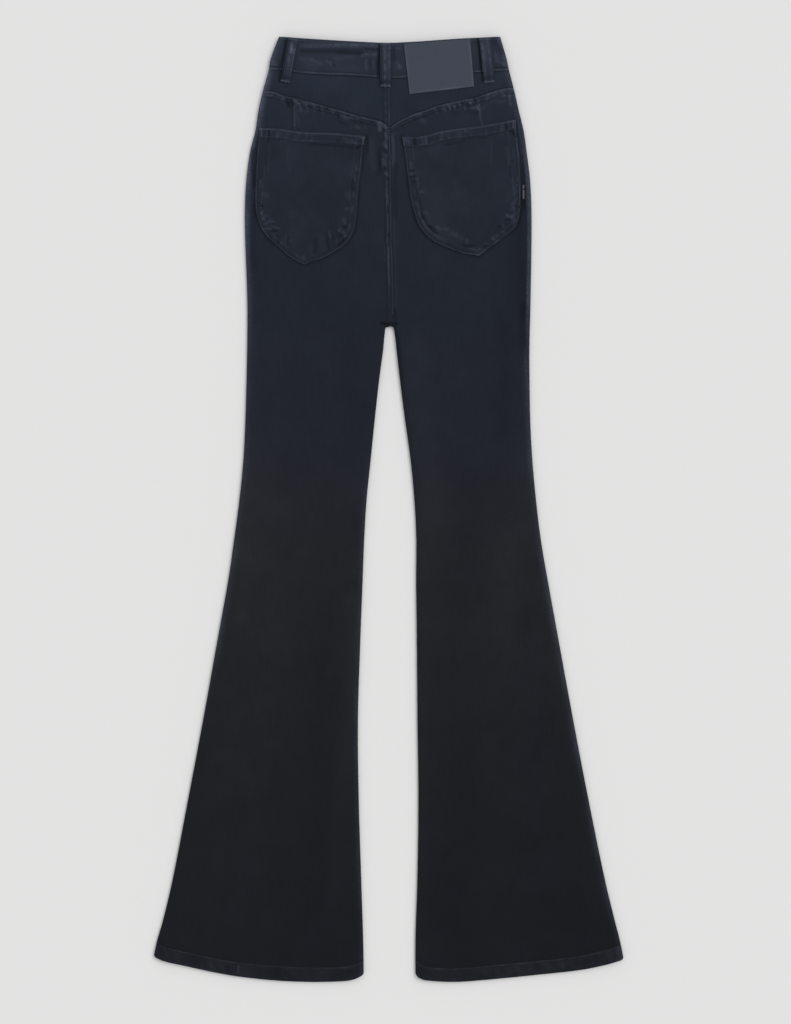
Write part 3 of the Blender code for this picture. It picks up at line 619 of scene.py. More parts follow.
def fellRelief(across, along, look, seed, pull=1.0):
    # a felled seam: raised strip, two sunk stitch rows, gathers between them, worn upper edge that is partly
    # a painted highlight, and painted shade just beyond the strip
    strip = (1 - ease((across - look["width"]) / look["step"])) * ease((across + 0.0002) / 0.0004)
    rows = groove(across - look["firstRow"]) + 0.6 * groove(across - look["secondRow"])
    body = hump(across - look["width"] * 0.60, look["width"] * 0.45)
    pucker = gathers(along, across, look["pitch"], seed) * pull
    lift = look["rise"] * strip - look["groove"] * rows * strip + look["gather"] * pucker * body
    patchy = 0.5 + 0.5 * softNoise(along, 0.0, 0.017, seed + 5)
    wearAndPaintedLight = hump(across - 0.0007, 0.0009) * look["edgeWear"] * (0.05 + 1.5 * patchy**2)
    besideRow = hump(across - look["firstRow"] - 0.0012, 0.0009)
    wearAndPaintedLight += look["gatherWear"] * body * (pucker - 0.30 * pull) + look["firstRowWear"] * besideRow
    wearAndPaintedLight += look["secondRowWear"] * hump(across - look["secondRow"] - 0.0006, 0.0008) * patchy
    # painted shade that the raised strip casts just beyond its edge
    wearAndPaintedLight += look["besidePaintedShade"] * hump(across - look["width"] - 0.0009, 0.0011)
    return lift, wearAndPaintedLight


def hemRowAt(x):
    return hemFold["row"] + hemFold["drift"] * softNoise(x, 0.0, 0.070, 45)


def hemRelief(fromFoot, x, seed):
    # the turned-up hem: a thicker strip under one row of stitches, rope-like at its folded edge
    row = hemRowAt(x)
    lift = hemFold["rise"] * (1 - ease((fromFoot - row - 0.0010) / 0.0014))
    pucker = gathers(x, fromFoot, hemFold["pitch"], seed, 0.35)
    lift += hemFold["gather"] * pucker * hump(fromFoot - row * 0.6, 0.0080)
    lift -= hemFold["groove"] * hump(fromFoot - row, 0.0008)
    ropes = gathers(x, fromFoot * 0, hemFold["ropePitch"], seed + 2, 0.0)
    blotches = 0.5 + 0.35 * softNoise(x, fromFoot * 2, 0.0200, seed + 4)
    blotches += 0.12 * softNoise(x, fromFoot, 0.0060, seed + 6)
    onFold = 1 - ease((fromFoot - row + 0.0004) / 0.0016)
    wearAndPaintedLight = hemFold["foldWear"] * onFold * np.clip(blotches, 0, 1)
    wearAndPaintedLight += hemFold["rowWear"] * hump(fromFoot - row, 0.0011) * ropes
    wearAndPaintedLight += hemFold["aboveWear"] * hump(fromFoot - row - 0.0024, 0.0014) * (0.4 + 0.6 * ropes)
    wearAndPaintedLight += hemFold["gatherWear"] * (pucker - 0.3) * hump(fromFoot - row * 0.55, 0.0060)
    wearAndPaintedLight += hemFold["edgeWear"] * hump(fromFoot, 0.0016) * ropes
    return lift, wearAndPaintedLight


# the panel seam that runs from the yoke down under each pocket: level, x
panelSeams = {
    -1: ((0.4600, -0.1198), (0.4800, -0.1201), (0.5000, -0.1204), (0.5160, -0.1207)),
    1: ((0.4600, 0.1205), (0.4793, 0.1166), (0.4930, 0.1141), (0.5030, 0.1129), (0.5160, 0.1100)),
}
panelLook = {"from": 0.4500, "ease": 0.0200, "step": 0.00030, "stepHalf": 0.0022, "line": 0.0009}


def panelSeamRelief(side, x, y):
    across = x - smoothCurve(panelSeams[side], y)
    fade = ease((y - panelLook["from"]) / panelLook["ease"])
    fromStep = across - panelLook["stepHalf"]
    step = panelLook["step"] * (1 - ease(np.abs(fromStep) / (2 * panelLook["stepHalf"])))
    line = hump(across, panelLook["line"])
    if side < 0:
        shade = 0.26 * hump(fromStep, 0.0012) - 0.55 * line
    else:
        shade = 0.50 * line - 0.20 * hump(across + 0.0020, 0.0012)
    return (step - 0.00018 * line) * fade, shade * fade


def yokeMarks(side):
    return (yokeMarksLeft if side < 0 else yokeMarksRight) + seamMarks


pocketOutlines = {
    "left": {
        "top": (
            (-0.1617, 0.4760), (-0.1346, 0.4751), (-0.1096, 0.4714), (-0.0671, 0.4700), (-0.0484, 0.4682),
            (-0.0290, 0.4664),
        ),
        "left": ((-0.1617, 0.4760), (-0.1640, 0.4492), (-0.1661, 0.4180), (-0.1674, 0.3867)),
        "right": (
            (-0.0290, 0.4664), (-0.0324, 0.4492), (-0.0337, 0.4330), (-0.0369, 0.4080), (-0.0394, 0.3767),
        ),
        "footLeft": (
            (-0.1674, 0.3867), (-0.1661, 0.3730), (-0.1609, 0.3542), (-0.1552, 0.3442), (-0.1484, 0.3367),
            (-0.1334, 0.3236), (-0.1234, 0.3149), (-0.1059, 0.3055),
        ),
        "footRight": (
            (-0.1059, 0.3055), (-0.0971, 0.3092), (-0.0834, 0.3135), (-0.0671, 0.3224), (-0.0528, 0.3324),
            (-0.0440, 0.3467), (-0.0409, 0.3592), (-0.0394, 0.3767),
        ),
    },
    "right": {
        "top": (
            (0.0164, 0.4655), (0.0341, 0.4652), (0.0454, 0.4668), (0.0654, 0.4721), (0.0891, 0.4758),
            (0.1141, 0.4786), (0.1329, 0.4820), (0.1454, 0.4842), (0.1585, 0.4870),
        ),
        "left": ((0.0164, 0.4655), (0.0195, 0.4492), (0.0216, 0.4305), (0.0260, 0.3980), (0.0285, 0.3830)),
        "right": ((0.1585, 0.4870), (0.1604, 0.4643), (0.1635, 0.4368), (0.1649, 0.4055), (0.1646, 0.3780)),
        "footLeft": (
            (0.0285, 0.3830), (0.0316, 0.3705), (0.0398, 0.3511), (0.0535, 0.3368), (0.0741, 0.3264),
            (0.0916, 0.3201), (0.1029, 0.3180), (0.1129, 0.3168),
        ),
        "footRight": (
            (0.1129, 0.3168), (0.1204, 0.3226), (0.1316, 0.3308), (0.1429, 0.3393), (0.1566, 0.3505),
            (0.1626, 0.3630), (0.1646, 0.3780),
        ),
    },
}


def curveThrough(points, share):
    points = np.array(points)
    lengths = np.r_[0, np.cumsum(np.hypot(*np.diff(points, axis=0).T))]
    at = np.asarray(share) * lengths[-1]
    table = np.column_stack([lengths, points])
    return np.stack([smoothCurve(table, at, 1), smoothCurve(table, at, 2)], axis=-1)


def pathLength(points):
    return float(np.hypot(*np.diff(np.array(points), axis=0).T).sum())


def footPoints(outline, u):
    # the pointed foot in two runs that meet on the middle column
    left = curveThrough(outline["footLeft"], np.clip(u / 0.5, 0, 1))
    right = curveThrough(outline["footRight"], np.clip((u - 0.5) / 0.5, 0, 1))
    return np.where(np.asarray(u)[:, None] <= 0.5, left, right)


def sewnOutline(outline):
    # the sides and foot of a pocket as one dense path, from the left corner to the right one
    shares = np.linspace(0, 1, 70)
    left = curveThrough(outline["left"], shares)
    foot = footPoints(outline, np.linspace(0, 1, 161))
    right = curveThrough(outline["right"], shares)[::-1]
    return np.concatenate([left, foot[1:], right[1:]])


def nearestOn(path, x, y):
    # distance to a path and how far along it the nearest point lies
    lengths = np.r_[0, np.cumsum(np.hypot(*np.diff(path, axis=0).T))]
    best, where = np.full(x.shape, 1e9), np.zeros(x.shape)
    for i in range(len(path) - 1):
        start, run = path[i], path[i + 1] - path[i]
        along = np.clip(((x - start[0]) * run[0] + (y - start[1]) * run[1]) / (run @ run), 0, 1)
        away = np.hypot(x - start[0] - along * run[0], y - start[1] - along * run[1])
        closer = away < best
        best = np.where(closer, away, best)
        where = np.where(closer, lengths[i] + along * (lengths[i + 1] - lengths[i]), where)
    return best, where


def pocketShade(side, x, y):
    # painted shadow: the dark line a pocket's raised edge casts on the leg round it
    path = sewnOutline(pocketOutlines["left" if side < 0 else "right"])
    away, along = nearestOn(path, x, y)
    patchy = 0.75 + 0.5 * softNoise(along, 0.0, 0.020, 17 + side)
    return -0.75 * hump(away - 0.0013, 0.0015) * patchy


def backLegRelief(side, x, y, foot, top):
    fromInner = np.abs(x - innerEdge(side, y))
    flat = 1 - innerCurl(y)
    lift, wearAndPaintedLight = marksRelief(legMarks + yokeMarks(side), x, y)
    folds, foldTone = marksRelief(legFolds, x, y, 0.05)
    lift = lift + folds + uneven(x, y, unevenRise["leg"], 11)
    wearAndPaintedLight = wearAndPaintedLight + foldTone + pocketShade(side, x, y) + uneven(x, y, unevenWear["leg"], 13)
    parts = [fellRelief(top - y, x, yokeFell, 21), hemRelief(y - foot, x, 41), panelSeamRelief(side, x, y)]
    pull = smoothCurve(seamPull, y)
    if side < 0:
        parts.append([part * flat for part in fellRelief(fromInner, y, fell, 31, pull)])
    else:
        drawn = gathers(y, fromInner, 0.0115, 33) * pull * hump(fromInner - 0.0042, 0.0034)
        rubbed = 0.25 * drawn + 0.12 * hump(fromInner - 0.0030, 0.0016)
        parts.append([0.00025 * drawn * flat, rubbed * flat])
    for partLift, partWear in parts:
        lift, wearAndPaintedLight = lift + partLift, wearAndPaintedLight + partWear
    return lift, wearAndPaintedLight


# how the yoke sinks along its two seams, with painted shade in both sunk edges, and how it is drawn up under
# the band
yokeLook = {
    "blotchWear": 0.08,
    "footSink": 0.00040,
    "headSink": 0.00035,
    "pitch": 0.0105,
    "gather": 0.00025,
    "footWearAndPaintedLight": -0.42,
    "headPaintedShade": -0.50,
}


def yokeRelief(side, x, y):
    fromInner = np.abs(x - innerEdge(side, y))
    lift, wearAndPaintedLight = marksRelief(yokeMarks(side), x, y)
    lift = lift + uneven(x, y, unevenRise["yoke"], 51)
    wearAndPaintedLight = wearAndPaintedLight + yokeLook["blotchWear"] * softNoise(x, y, 0.022, 56)
    if side < 0:
        seamLift, seamWear = fellRelief(fromInner, y, fell, 53)
        lift, wearAndPaintedLight = lift + seamLift, wearAndPaintedLight + seamWear
    above, below = y - yokeLine(x), backSeamLine(x) - y
    lift = lift - yokeLook["footSink"] * hump(above, 0.0016) - yokeLook["headSink"] * hump(below, 0.0018)
    pucker = gathers(x, above, yokeLook["pitch"], 54)
    lift = lift + yokeLook["gather"] * pucker * hump(below - 0.0045, 0.0042)
    # painted shade in the sunk edges, just above the yoke seam and just under the band
    wearAndPaintedLight = wearAndPaintedLight + yokeLook["footWearAndPaintedLight"] * hump(above - 0.0004, 0.0013)
    wearAndPaintedLight = wearAndPaintedLight + yokeLook["headPaintedShade"] * hump(below, 0.0016)
    return lift, wearAndPaintedLight


def frontLegRelief(_, x, y, foot, top):
    # both fronts are alike, and the hem adds no height on the side that lies on the surface
    lift, wearAndPaintedLight = marksRelief(frontFolds, x, y, 0.15)
    _, hemWear = hemRelief(y - foot, x, 63)
    lift = lift + 0.00012 * softNoise(x, y, 0.060, 61) - 0.00030 * hump(y - foot - hemRowAt(x), 0.0030)
    return lift, wearAndPaintedLight + hemWear + 0.5 * hump(top - y, 0.0010)


print("materials")

# cloth colours down the garment, darker and less blue towards the hem: partly the cloth's own colour and
# partly a painted fall-off of the light from the waist end; linear: level, red, green, blue
clothAndLightFalloffTones = (
    (-0.590, (0.0059, 0.0069, 0.0103)),
    (-0.350, (0.0083, 0.0094, 0.0128)),
    (-0.050, (0.0116, 0.0130, 0.0170)),
    (0.150, (0.0107, 0.0137, 0.0226)),
    (0.300, (0.0114, 0.0153, 0.0252)),
    (0.450, (0.0133, 0.0175, 0.0288)),
    (0.520, (0.0134, 0.0188, 0.0318)),
    (0.580, (0.0206, 0.0265, 0.0432)),
)

# how strongly each finish shows the paler side of the wear layer, which also carries painted highlights
finishes = {
    "denimBack": {"gain": 1.00, "wearAndPaintedLight": 0.55, "slot": "denim_back"},
    "denimFront": {"gain": 0.95, "wearAndPaintedLight": 0.40, "slot": "denim_front"},
    "denimYoke": {"gain": 1.02, "wearAndPaintedLight": 0.60, "slot": "denim_yoke"},
    "denimBand": {"gain": 1.02, "wearAndPaintedLight": 0.60, "slot": "denim_band"},
    "denimPocket": {"gain": 1.00, "wearAndPaintedLight": 0.62, "slot": "denim_pocket"},
    "denimLoop": {"gain": 1.12, "wearAndPaintedLight": 0.80, "slot": "denim_loop"},
}
# threads as direction in degrees, spacing and unevenness; mottling as size and strength
denimLook = {
    "ribs": (62.0, 0.00078, 1.2),
    "weft": (4.0, 0.00062, 0.8),
    "weaveShine": 0.34,
    "leastShine": 0.80,
    "slubs": (0.0011, 0.45),
    "slubStretch": (1.0, 0.05, 1.0),
    "clouds": (0.055, 0.26),
    "patches": (0.014, 0.14),
    "fibres": 0.00045,
    "fadePulls": (1.20, 1.05, 0.75),
    "scuffSize": 0.0024,
    "scuffGain": 2.2,
    "scuffStart": 0.35,
    "leastScuff": 0.10,
    # the pale tone is for wear and painted highlights, the dark tone for unfaded cloth and painted shade
    "paleTone": (0.085, 0.094, 0.135),
    "unfadedAndShadeShare": -0.62,
    "unfadedAndShadeTone": (0.0022, 0.0026, 0.0042),
    "bump": (0.35, 0.00018),
    "shader": {
        "Roughness": 0.92,
        "Specular IOR Level": 0.16,
        "Sheen Weight": 0.18,
        "Sheen Roughness": 0.45,
        "Sheen Tint": (0.55, 0.62, 0.80),
    },
}
waveScale = 0.3142  # a wave texture of this scale repeats once in a metre


class NodeBoard:
    # small helper that keeps node wiring short
    def __init__(self, name):
        self.material = bpy.data.materials.new(name)
        self.material.use_nodes = True
        self.nodes = self.material.node_tree.nodes
        self.links = self.material.node_tree.links
        self.shader = self.nodes["Principled BSDF"]

    def plug(self, value, socket):
        # another node's socket is linked, anything else is set; colours come as three shares
        if isinstance(value, bpy.types.NodeSocket):
            self.links.new(value, socket)
        elif socket.type == "RGBA":
            socket.default_value = (*value, 1.0)
        else:
            socket.default_value = value

    def add(self, kind, **inputs):
        node = self.nodes.new(kind)
        for key, value in inputs.items():
            self.plug(value, node.inputs[key])
        return node

    def place(self):
        return self.add("ShaderNodeTexCoord").outputs["Object"]

    def layer(self, name):
        # a value that the mesh keeps at its points
        node = self.nodes.new("ShaderNodeAttribute")
        node.attribute_name = name
        return node.outputs["Fac"]

    def math(self, operation, a, b):
        node = self.nodes.new("ShaderNodeMath")
        node.operation = operation
        self.plug(a, node.inputs[0])
        self.plug(b, node.inputs[1])
        return node.outputs[0]

    def plus(self, a, b):
        return self.math("ADD", a, b)

    def minus(self, a, b):
        return self.math("SUBTRACT", a, b)

    def times(self, a, b):
        return self.math("MULTIPLY", a, b)

    def clamped(self, value):
        return self.add("ShaderNodeClamp", Value=value).outputs[0]

    def blend(self, share, a, b, mode="MIX"):
        node = self.nodes.new("ShaderNodeMix")
        node.data_type = "RGBA"
        node.blend_type = mode
        for key, value in ((0, share), (6, a), (7, b)):
            self.plug(value, node.inputs[key])
        return node.outputs[2]

    def wave(self, vector, turn, period, distortion=0.0):
        turned = self.add("ShaderNodeMapping", Vector=vector, Rotation=(0.0, 0.0, math.radians(turn)))
        node = self.add("ShaderNodeTexWave", Vector=turned.outputs[0], Scale=waveScale / period)
        node.wave_profile = "SIN"
        self.plug(distortion, node.inputs["Distortion"])
        self.plug(1.0, node.inputs["Detail"])
        return node.outputs["Fac"]

    def noise(self, vector, size, detail=2.0):
        node = self.add("ShaderNodeTexNoise", Vector=vector, Scale=1.0 / size, Detail=detail)
        return node.outputs["Fac"]

    def dress(self, tone, shader, height=None, strength=1.0, distance=0.001):
        # base colour, the shader's other values by socket name, and fine relief where there is some
        for socket, value in {"Base Color": tone, **shader}.items():
            self.plug(value, self.shader.inputs[socket])
        if height is not None:
            bump = self.add("ShaderNodeBump", Height=height, Strength=strength, Distance=distance)
            self.plug(bump.outputs[0], self.shader.inputs["Normal"])
        return self.material


def denimFinish(name, look):
    board = NodeBoard(name)
    place = board.place()
    level = board.add("ShaderNodeSeparateXYZ", Vector=place).outputs["Y"]
    lowest, highest = clothAndLightFalloffTones[0][0], clothAndLightFalloffTones[-1][0]
    share = board.times(board.minus(level, lowest), 1 / (highest - lowest))
    ramp = board.add("ShaderNodeValToRGB", Fac=share)
    stops = ramp.color_ramp.elements
    while len(stops) < len(clothAndLightFalloffTones):
        stops.new(0.5)
    for stop, (at, colour) in zip(stops, clothAndLightFalloffTones):
        stop.position = (at - lowest) / (highest - lowest)
        stop.color = (*[c * look["gain"] for c in colour], 1.0)
    tone = ramp.outputs["Color"]

    # twill: steep ribs of dark warp crossed by the paler weft between them
    ribs, weft = (board.wave(place, *denimLook[thread]) for thread in ("ribs", "weft"))
    weave = board.times(ribs, board.plus(board.times(weft, 0.5), 0.5))
    shine = board.plus(board.times(weave, denimLook["weaveShine"]), denimLook["leastShine"])
    streaks = board.add("ShaderNodeMapping", Vector=place, Scale=denimLook["slubStretch"]).outputs[0]
    for where, mottling in ((streaks, "slubs"), (place, "clouds"), (place, "patches")):
        size, strength = denimLook[mottling]
        shine = board.plus(shine, board.times(board.minus(board.noise(where, size), 0.5), strength))

    # broad paler areas are greyer, broad darker ones bluer
    fade = board.layer("fade")
    red, green, blue = (
        board.times(shine, board.plus(board.times(fade, pull), 1.0)) for pull in denimLook["fadePulls"]
    )
    grey = board.add("ShaderNodeCombineColor", Red=red, Green=green, Blue=blue).outputs[0]
    tone = board.blend(1.0, tone, grey, "MULTIPLY")

    # the wear layer above zero fades the cloth in scuffs, for wear and for painted highlights; below zero it
    # darkens, for unfaded cloth and for painted shade
    paleness = board.layer("wearAndPaintedLight")
    scuffs = board.times(board.noise(place, denimLook["scuffSize"], 3.0), denimLook["scuffGain"])
    rough = board.math("MAXIMUM", board.minus(scuffs, denimLook["scuffStart"]), denimLook["leastScuff"])
    amount = board.times(board.times(paleness, rough), look["wearAndPaintedLight"])
    tone = board.blend(board.clamped(amount), tone, denimLook["paleTone"])
    unfadedAndShade = board.clamped(board.times(paleness, denimLook["unfadedAndShadeShare"]))
    tone = board.blend(unfadedAndShade, tone, denimLook["unfadedAndShadeTone"])

    fibres = board.noise(place, denimLook["fibres"], 3.0)
    relief = board.plus(board.times(weave, 0.6), board.times(fibres, 0.5))
    return board.dress(tone, denimLook["shader"], relief, *denimLook["bump"])


def reverseFinish():
    # the cloth's inner face shows more of its grey weft
    board = NodeBoard("denimReverse")
    place = board.place()
    ribs = board.wave(place, 118.0, 0.00078, 1.0)
    shine = board.plus(board.times(ribs, 0.35), board.times(board.noise(place, 0.0005, 3.0), 0.5))
    tone = board.blend(shine, (0.026, 0.028, 0.034), (0.060, 0.064, 0.074))
    return board.dress(tone, {"Roughness": 0.95, "Specular IOR Level": 0.15}, shine, 0.3, 0.00015)


def threadFinish():
    board = NodeBoard("seamThread")
    place = board.place()
    ply = board.wave(place, 35.0, 0.00030, 0.4)
    share = board.plus(board.times(ply, 0.3), board.times(board.noise(place, 0.012), 0.8))
    dulled = board.math("MAXIMUM", board.plus(board.layer("fade"), 1.0), 0.0)
    tone = board.blend(board.times(share, dulled), (0.024, 0.028, 0.040), (0.084, 0.094, 0.130))
    return board.dress(tone, {"Roughness": 0.62, "Specular IOR Level": 0.30}, ply, 0.4, 0.00008)


def patchFinish():
    board = NodeBoard("patchLeather")
    place = board.place()
    grain = board.add("ShaderNodeTexVoronoi", Vector=place, Scale=1 / 0.0011)
    grain.feature = "DISTANCE_TO_EDGE"
    pores = board.noise(place, 0.0006, 3.0)
    shine = board.plus(board.times(board.noise(place, 0.022, 3.0), 0.30), board.times(pores, 0.22))
    tone = board.blend(shine, (0.0374, 0.0464, 0.0684), (0.0544, 0.0636, 0.0909))
    tone = board.blend(board.clamped(board.layer("wearAndPaintedLight")), tone, (0.105, 0.118, 0.150))
    height = board.plus(board.times(grain.outputs["Distance"], 1.4), board.times(pores, 0.4))
    return board.dress(tone, {"Roughness": 0.66, "Specular IOR Level": 0.22}, height, 0.28, 0.00025)


def tabFinish():
    board = NodeBoard("tabTape")
    place = board.place()
    ribs = board.wave(place, 0.0, 0.00045)
    share = board.plus(board.times(ribs, 0.5), board.times(board.noise(place, 0.001), 0.4))
    tone = board.blend(share, (0.038, 0.041, 0.052), (0.098, 0.104, 0.124))
    return board.dress(tone, {"Roughness": 0.75}, ribs, 0.4, 0.0001)


def buttonFinish():
    board = NodeBoard("buttonMetal")
    scratches = board.noise(board.place(), 0.0014, 4.0)
    tone = board.blend(scratches, (0.055, 0.055, 0.060), (0.130, 0.128, 0.130))
    rough = board.plus(board.times(scratches, 0.25), 0.25)
    return board.dress(tone, {"Roughness": rough, "Metallic": 1.0})


def floorFinish():
    board = NodeBoard("paleFloor")
    return board.dress((0.785, 0.785, 0.782), {"Roughness": 0.95, "Specular IOR Level": 0.0})


materials = {name: denimFinish(name, look) for name, look in finishes.items()}
materials["reverse"] = reverseFinish()
materials["thread"] = threadFinish()
materials["patch"] = patchFinish()
materials["tab"] = tabFinish()
materials["button"] = buttonFinish()
materials["floor"] = floorFinish()

slots = {name: look["slot"] for name, look in finishes.items()}
slots.update(patch="patch_leather", tab="tab_weave", button="dark_metal")

print("panels")


def linkPiece(name, mesh, finish, node=None):
    mesh.materials.append(materials[finish])
    piece = bpy.data.objects.new(name, mesh)
    bpy.context.scene.collection.objects.link(piece)
    mesh.shade_smooth()
    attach(piece, "root")
    if node:
        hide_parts(node)
    return piece


def clothGrid(name, node, x, y, z, wearAndPaintedLight, finish, thick, flip=False):
    # a thin shell on a grid of points, thickened inwards
    rows, columns = x.shape
    index = np.arange(rows * columns).reshape(rows, columns)
    corners = (index[:-1, :-1], index[:-1, 1:], index[1:, 1:], index[1:, :-1])
    quads = np.stack(corners, axis=-1).reshape(-1, 4)
    if flip:
        quads = quads[:, ::-1]
    mesh = bpy.data.meshes.new(name)
    mesh.from_pydata(line3(x, y, z).reshape(-1, 3).tolist(), [], quads.tolist())
    # the point layers: wear together with painted highlights and painted shade, and the broad paler or
    # darker bands
    for layerName, values in (("wearAndPaintedLight", np.clip(wearAndPaintedLight, -1, 2)), ("fade", marksAt(x, y, toneBands))):
        layer = mesh.attributes.new(layerName, "FLOAT", "POINT")
        layer.data.foreach_set("value", values.reshape(-1).astype(np.float32))
    piece = linkPiece(name, mesh, finish, node)
    mesh.materials.append(materials["reverse" if finish in finishes else finish])
    wall = piece.modifiers.new("clothWall", "SOLIDIFY")
    wall.thickness = thick
    wall.offset = -1.0
    wall.material_offset = 1
    wall.material_offset_rim = 0
    wall.use_even_offset = False
    return piece


besideShare = 0.055  # of the width, beside the inner strip, where columns lie closer


def columnSet(innerSteps, besideSteps, middleSteps, outerSteps):
    # zones 0 inner strip, 1 middle, 2 side roll, each with its share across
    inner = [(0, 1 - i / innerSteps) for i in range(innerSteps)]
    beside = [(1, besideShare * i / besideSteps) for i in range(besideSteps)]
    middle = [(1, besideShare + (1 - besideShare) * i / middleSteps) for i in range(middleSteps)]
    outer = [(2, i / outerSteps) for i in range(outerSteps + 1)]
    return np.array(inner + beside + middle + outer)


def planX(side, columns, y):
    zone, share = columns[:, 0], columns[:, 1]
    inner, edge = innerEdge(side, y), sideEdge(side, y)
    fromInner = inner + side * lay["inseamRoll"] * (1 - share)
    across = mix(inner + side * lay["inseamRoll"], edge - side * lay["sideRoll"], share)
    fromSide = edge - side * lay["sideRoll"] * (1 - share)
    return np.where(zone == 0, fromInner, np.where(zone == 1, across, fromSide))


def levelOn(line, side, columns):
    y = line(np.full(len(columns), side * 0.1))
    for _ in range(8):
        y = line(planX(side, columns, y))
    return y


# where a leg's rows of points lie closer, in metres
closeRows = {
    "foot": 0.0230,
    "top": 0.0115,
    "hipsFrom": 0.12,
    "hipsEase": 0.12,
    "crotch": 0.0060,
    "least": 0.0010,
}


def rowLevels(foot, top, footRows, topRows, spacing):
    # rows packed near the hem and the yoke, and closer over the hips than down the leg
    footSteps = np.linspace(0, closeRows["foot"], footRows)
    topSteps = np.linspace(closeRows["top"], 0, topRows)
    start, end = foot[0] + footSteps[-1], top[0] - topSteps[0]
    marks = [0.0]
    while marks[-1] < 1.0:
        level = mix(start, end, marks[-1])
        overHips = float(ease((level - closeRows["hipsFrom"]) / closeRows["hipsEase"]))
        fine = mix(spacing[0], spacing[1], overHips)
        if abs(level - lay["crotch"]) < closeRows["crotch"]:
            fine = closeRows["least"]
        marks.append(marks[-1] + fine / (end - start))
    marks = np.array(marks) / marks[-1]
    low = foot[None, :] + footSteps[:, None]
    high = top[None, :] - topSteps[:, None]
    between = low[-1][None, :] + (high[0] - low[-1])[None, :] * marks[1:-1, None]
    return np.concatenate([low, between, high])


def turnLessGap(turn, width, half):
    along = np.hypot((width - lay["cloth"]) * np.cos(turn), (half - lay["cloth"]) * np.sin(turn))
    return turn - lay["seamGap"] / 2 / along


def rimWearAndPaintedLight(side, x, y):
    # the edges of the garment are painted paler, partly rubbed wear and partly a painted sheen on the rolled
    # edges, and darker as painted shade where the rims table goes below zero
    outer = smoothCurve(outerRims, y, sideColumn(side)) * hump(sideEdge(side, y) - x, 0.0054)
    inner = smoothCurve(innerRims, y, sideColumn(side)) * hump(x - innerEdge(side, y), 0.0048)
    return (outer + inner * innerCurl(y)) * (0.75 + 0.4 * softNoise(x, y, 0.03, 77))


def panelShell(side, back, columns, y, relief):
    # a panel from its inner strip, over the middle, to where it rolls round the side edge
    zone, share = columns[:, 0][None, :], columns[:, 1][None, :]
    inner, edge = innerEdge(side, y), sideEdge(side, y)
    middle, curl = middleHeight(y), innerCurl(y)
    plan = np.stack([planX(side, columns, row) for row in y])
    foot, top = y[0][None, :], y[-1][None, :]
    lift, wearAndPaintedLight = relief(side, plan, y, foot, top)
    faceAt = (lambda x: backHeight(side, x, y)) if back else (lambda x: frontUnder(y))
    turn = np.radians(smoothCurve(seamTurns, y, sideColumn(side)))
    turn = turn if back else np.pi - turn

    faceInner = faceAt(inner + side * lay["inseamRoll"])
    angle = share * turnLessGap(np.pi / 2, lay["inseamRoll"], np.abs(faceInner - middle))
    innerD = mix(lay["inseamRoll"] * (1 - share), lay["inseamRoll"] * (1 - np.sin(angle)), curl)
    innerZ = mix(faceInner, middle + (faceInner - middle) * np.cos(angle), curl)
    innerKeep = mix(1.0, np.cos(angle), curl)

    faceOuter = faceAt(edge - side * lay["sideRoll"])
    angle = share * turnLessGap(turn, lay["sideRoll"], np.abs(faceOuter - middle))
    outerD = lay["sideRoll"] * (1 - np.sin(angle))
    outerZ = middle + (faceOuter - middle) * np.cos(angle)
    outerKeep = np.clip(np.cos(angle), 0, 1)

    up = 1.0 if back else -1.0
    x = np.where(zone == 0, inner + side * innerD, np.where(zone == 1, plan, edge - side * outerD))
    z = np.where(zone == 0, innerZ, np.where(zone == 1, faceAt(plan), outerZ))
    keep = np.where(zone == 0, innerKeep, np.where(zone == 1, 1.0, outerKeep))
    z = z + up * lift * keep
    wearAndPaintedLight = wearAndPaintedLight * np.clip(2.5 * keep, 0, 1) + rimWearAndPaintedLight(side, x, y)
    if not back and side > 0:
        # the front is wrapped over the edge of the right hip as a raised seam strip, painted paler, partly
        # seam wear and partly a painted highlight on its lit edge
        (stripFoot, footEase), (stripTop, topEase) = lay["stripFoot"], lay["stripTop"]
        wrapped = np.where(zone == 2, np.clip(-np.cos(angle), 0, 1), 0.0)
        wrapped = wrapped * ease((y - stripFoot) / footEase) * ease((stripTop - y) / topEase)
        z = z + lay["hipStrip"] * wrapped
        wearAndPaintedLight = wearAndPaintedLight + wrapped * (0.7 + 0.5 * softNoise(x, y, 0.03, 78))
    if not back:
        z = np.maximum(z, 0.0)
    return x, z, wearAndPaintedLight


legGrid = {"columns": (10, 10, 126, 10), "foot": 19, "top": 14, "spacing": (0.0078, 0.0030)}
frontGrid = {"columns": (6, 3, 26, 9), "foot": 10, "top": 6, "spacing": (0.0140, 0.0080)}


def legPiece(word, side, back):
    grid = legGrid if back else frontGrid
    columns = columnSet(*grid["columns"])
    foot = levelOn(lambda x: smoothCurve(hemEdges[side], x), side, columns)
    top = levelOn(yokeLine if back else frontSeamLine, side, columns) - lay["seamGap"] / 2
    y = rowLevels(foot, top, grid["foot"], grid["top"], grid["spacing"])
    x, z, wearAndPaintedLight = panelShell(side, back, columns, y, backLegRelief if back else frontLegRelief)
    half = "back" if back else "front"
    names = f"{half}Leg{word.title()}", f"{half}_leg_{word}"
    return clothGrid(*names, x, y, z, wearAndPaintedLight, f"denim{half.title()}", lay["cloth"], (side < 0) == back)


yokeGrid = {"columns": (10, 6, 124, 10), "rows": 50}


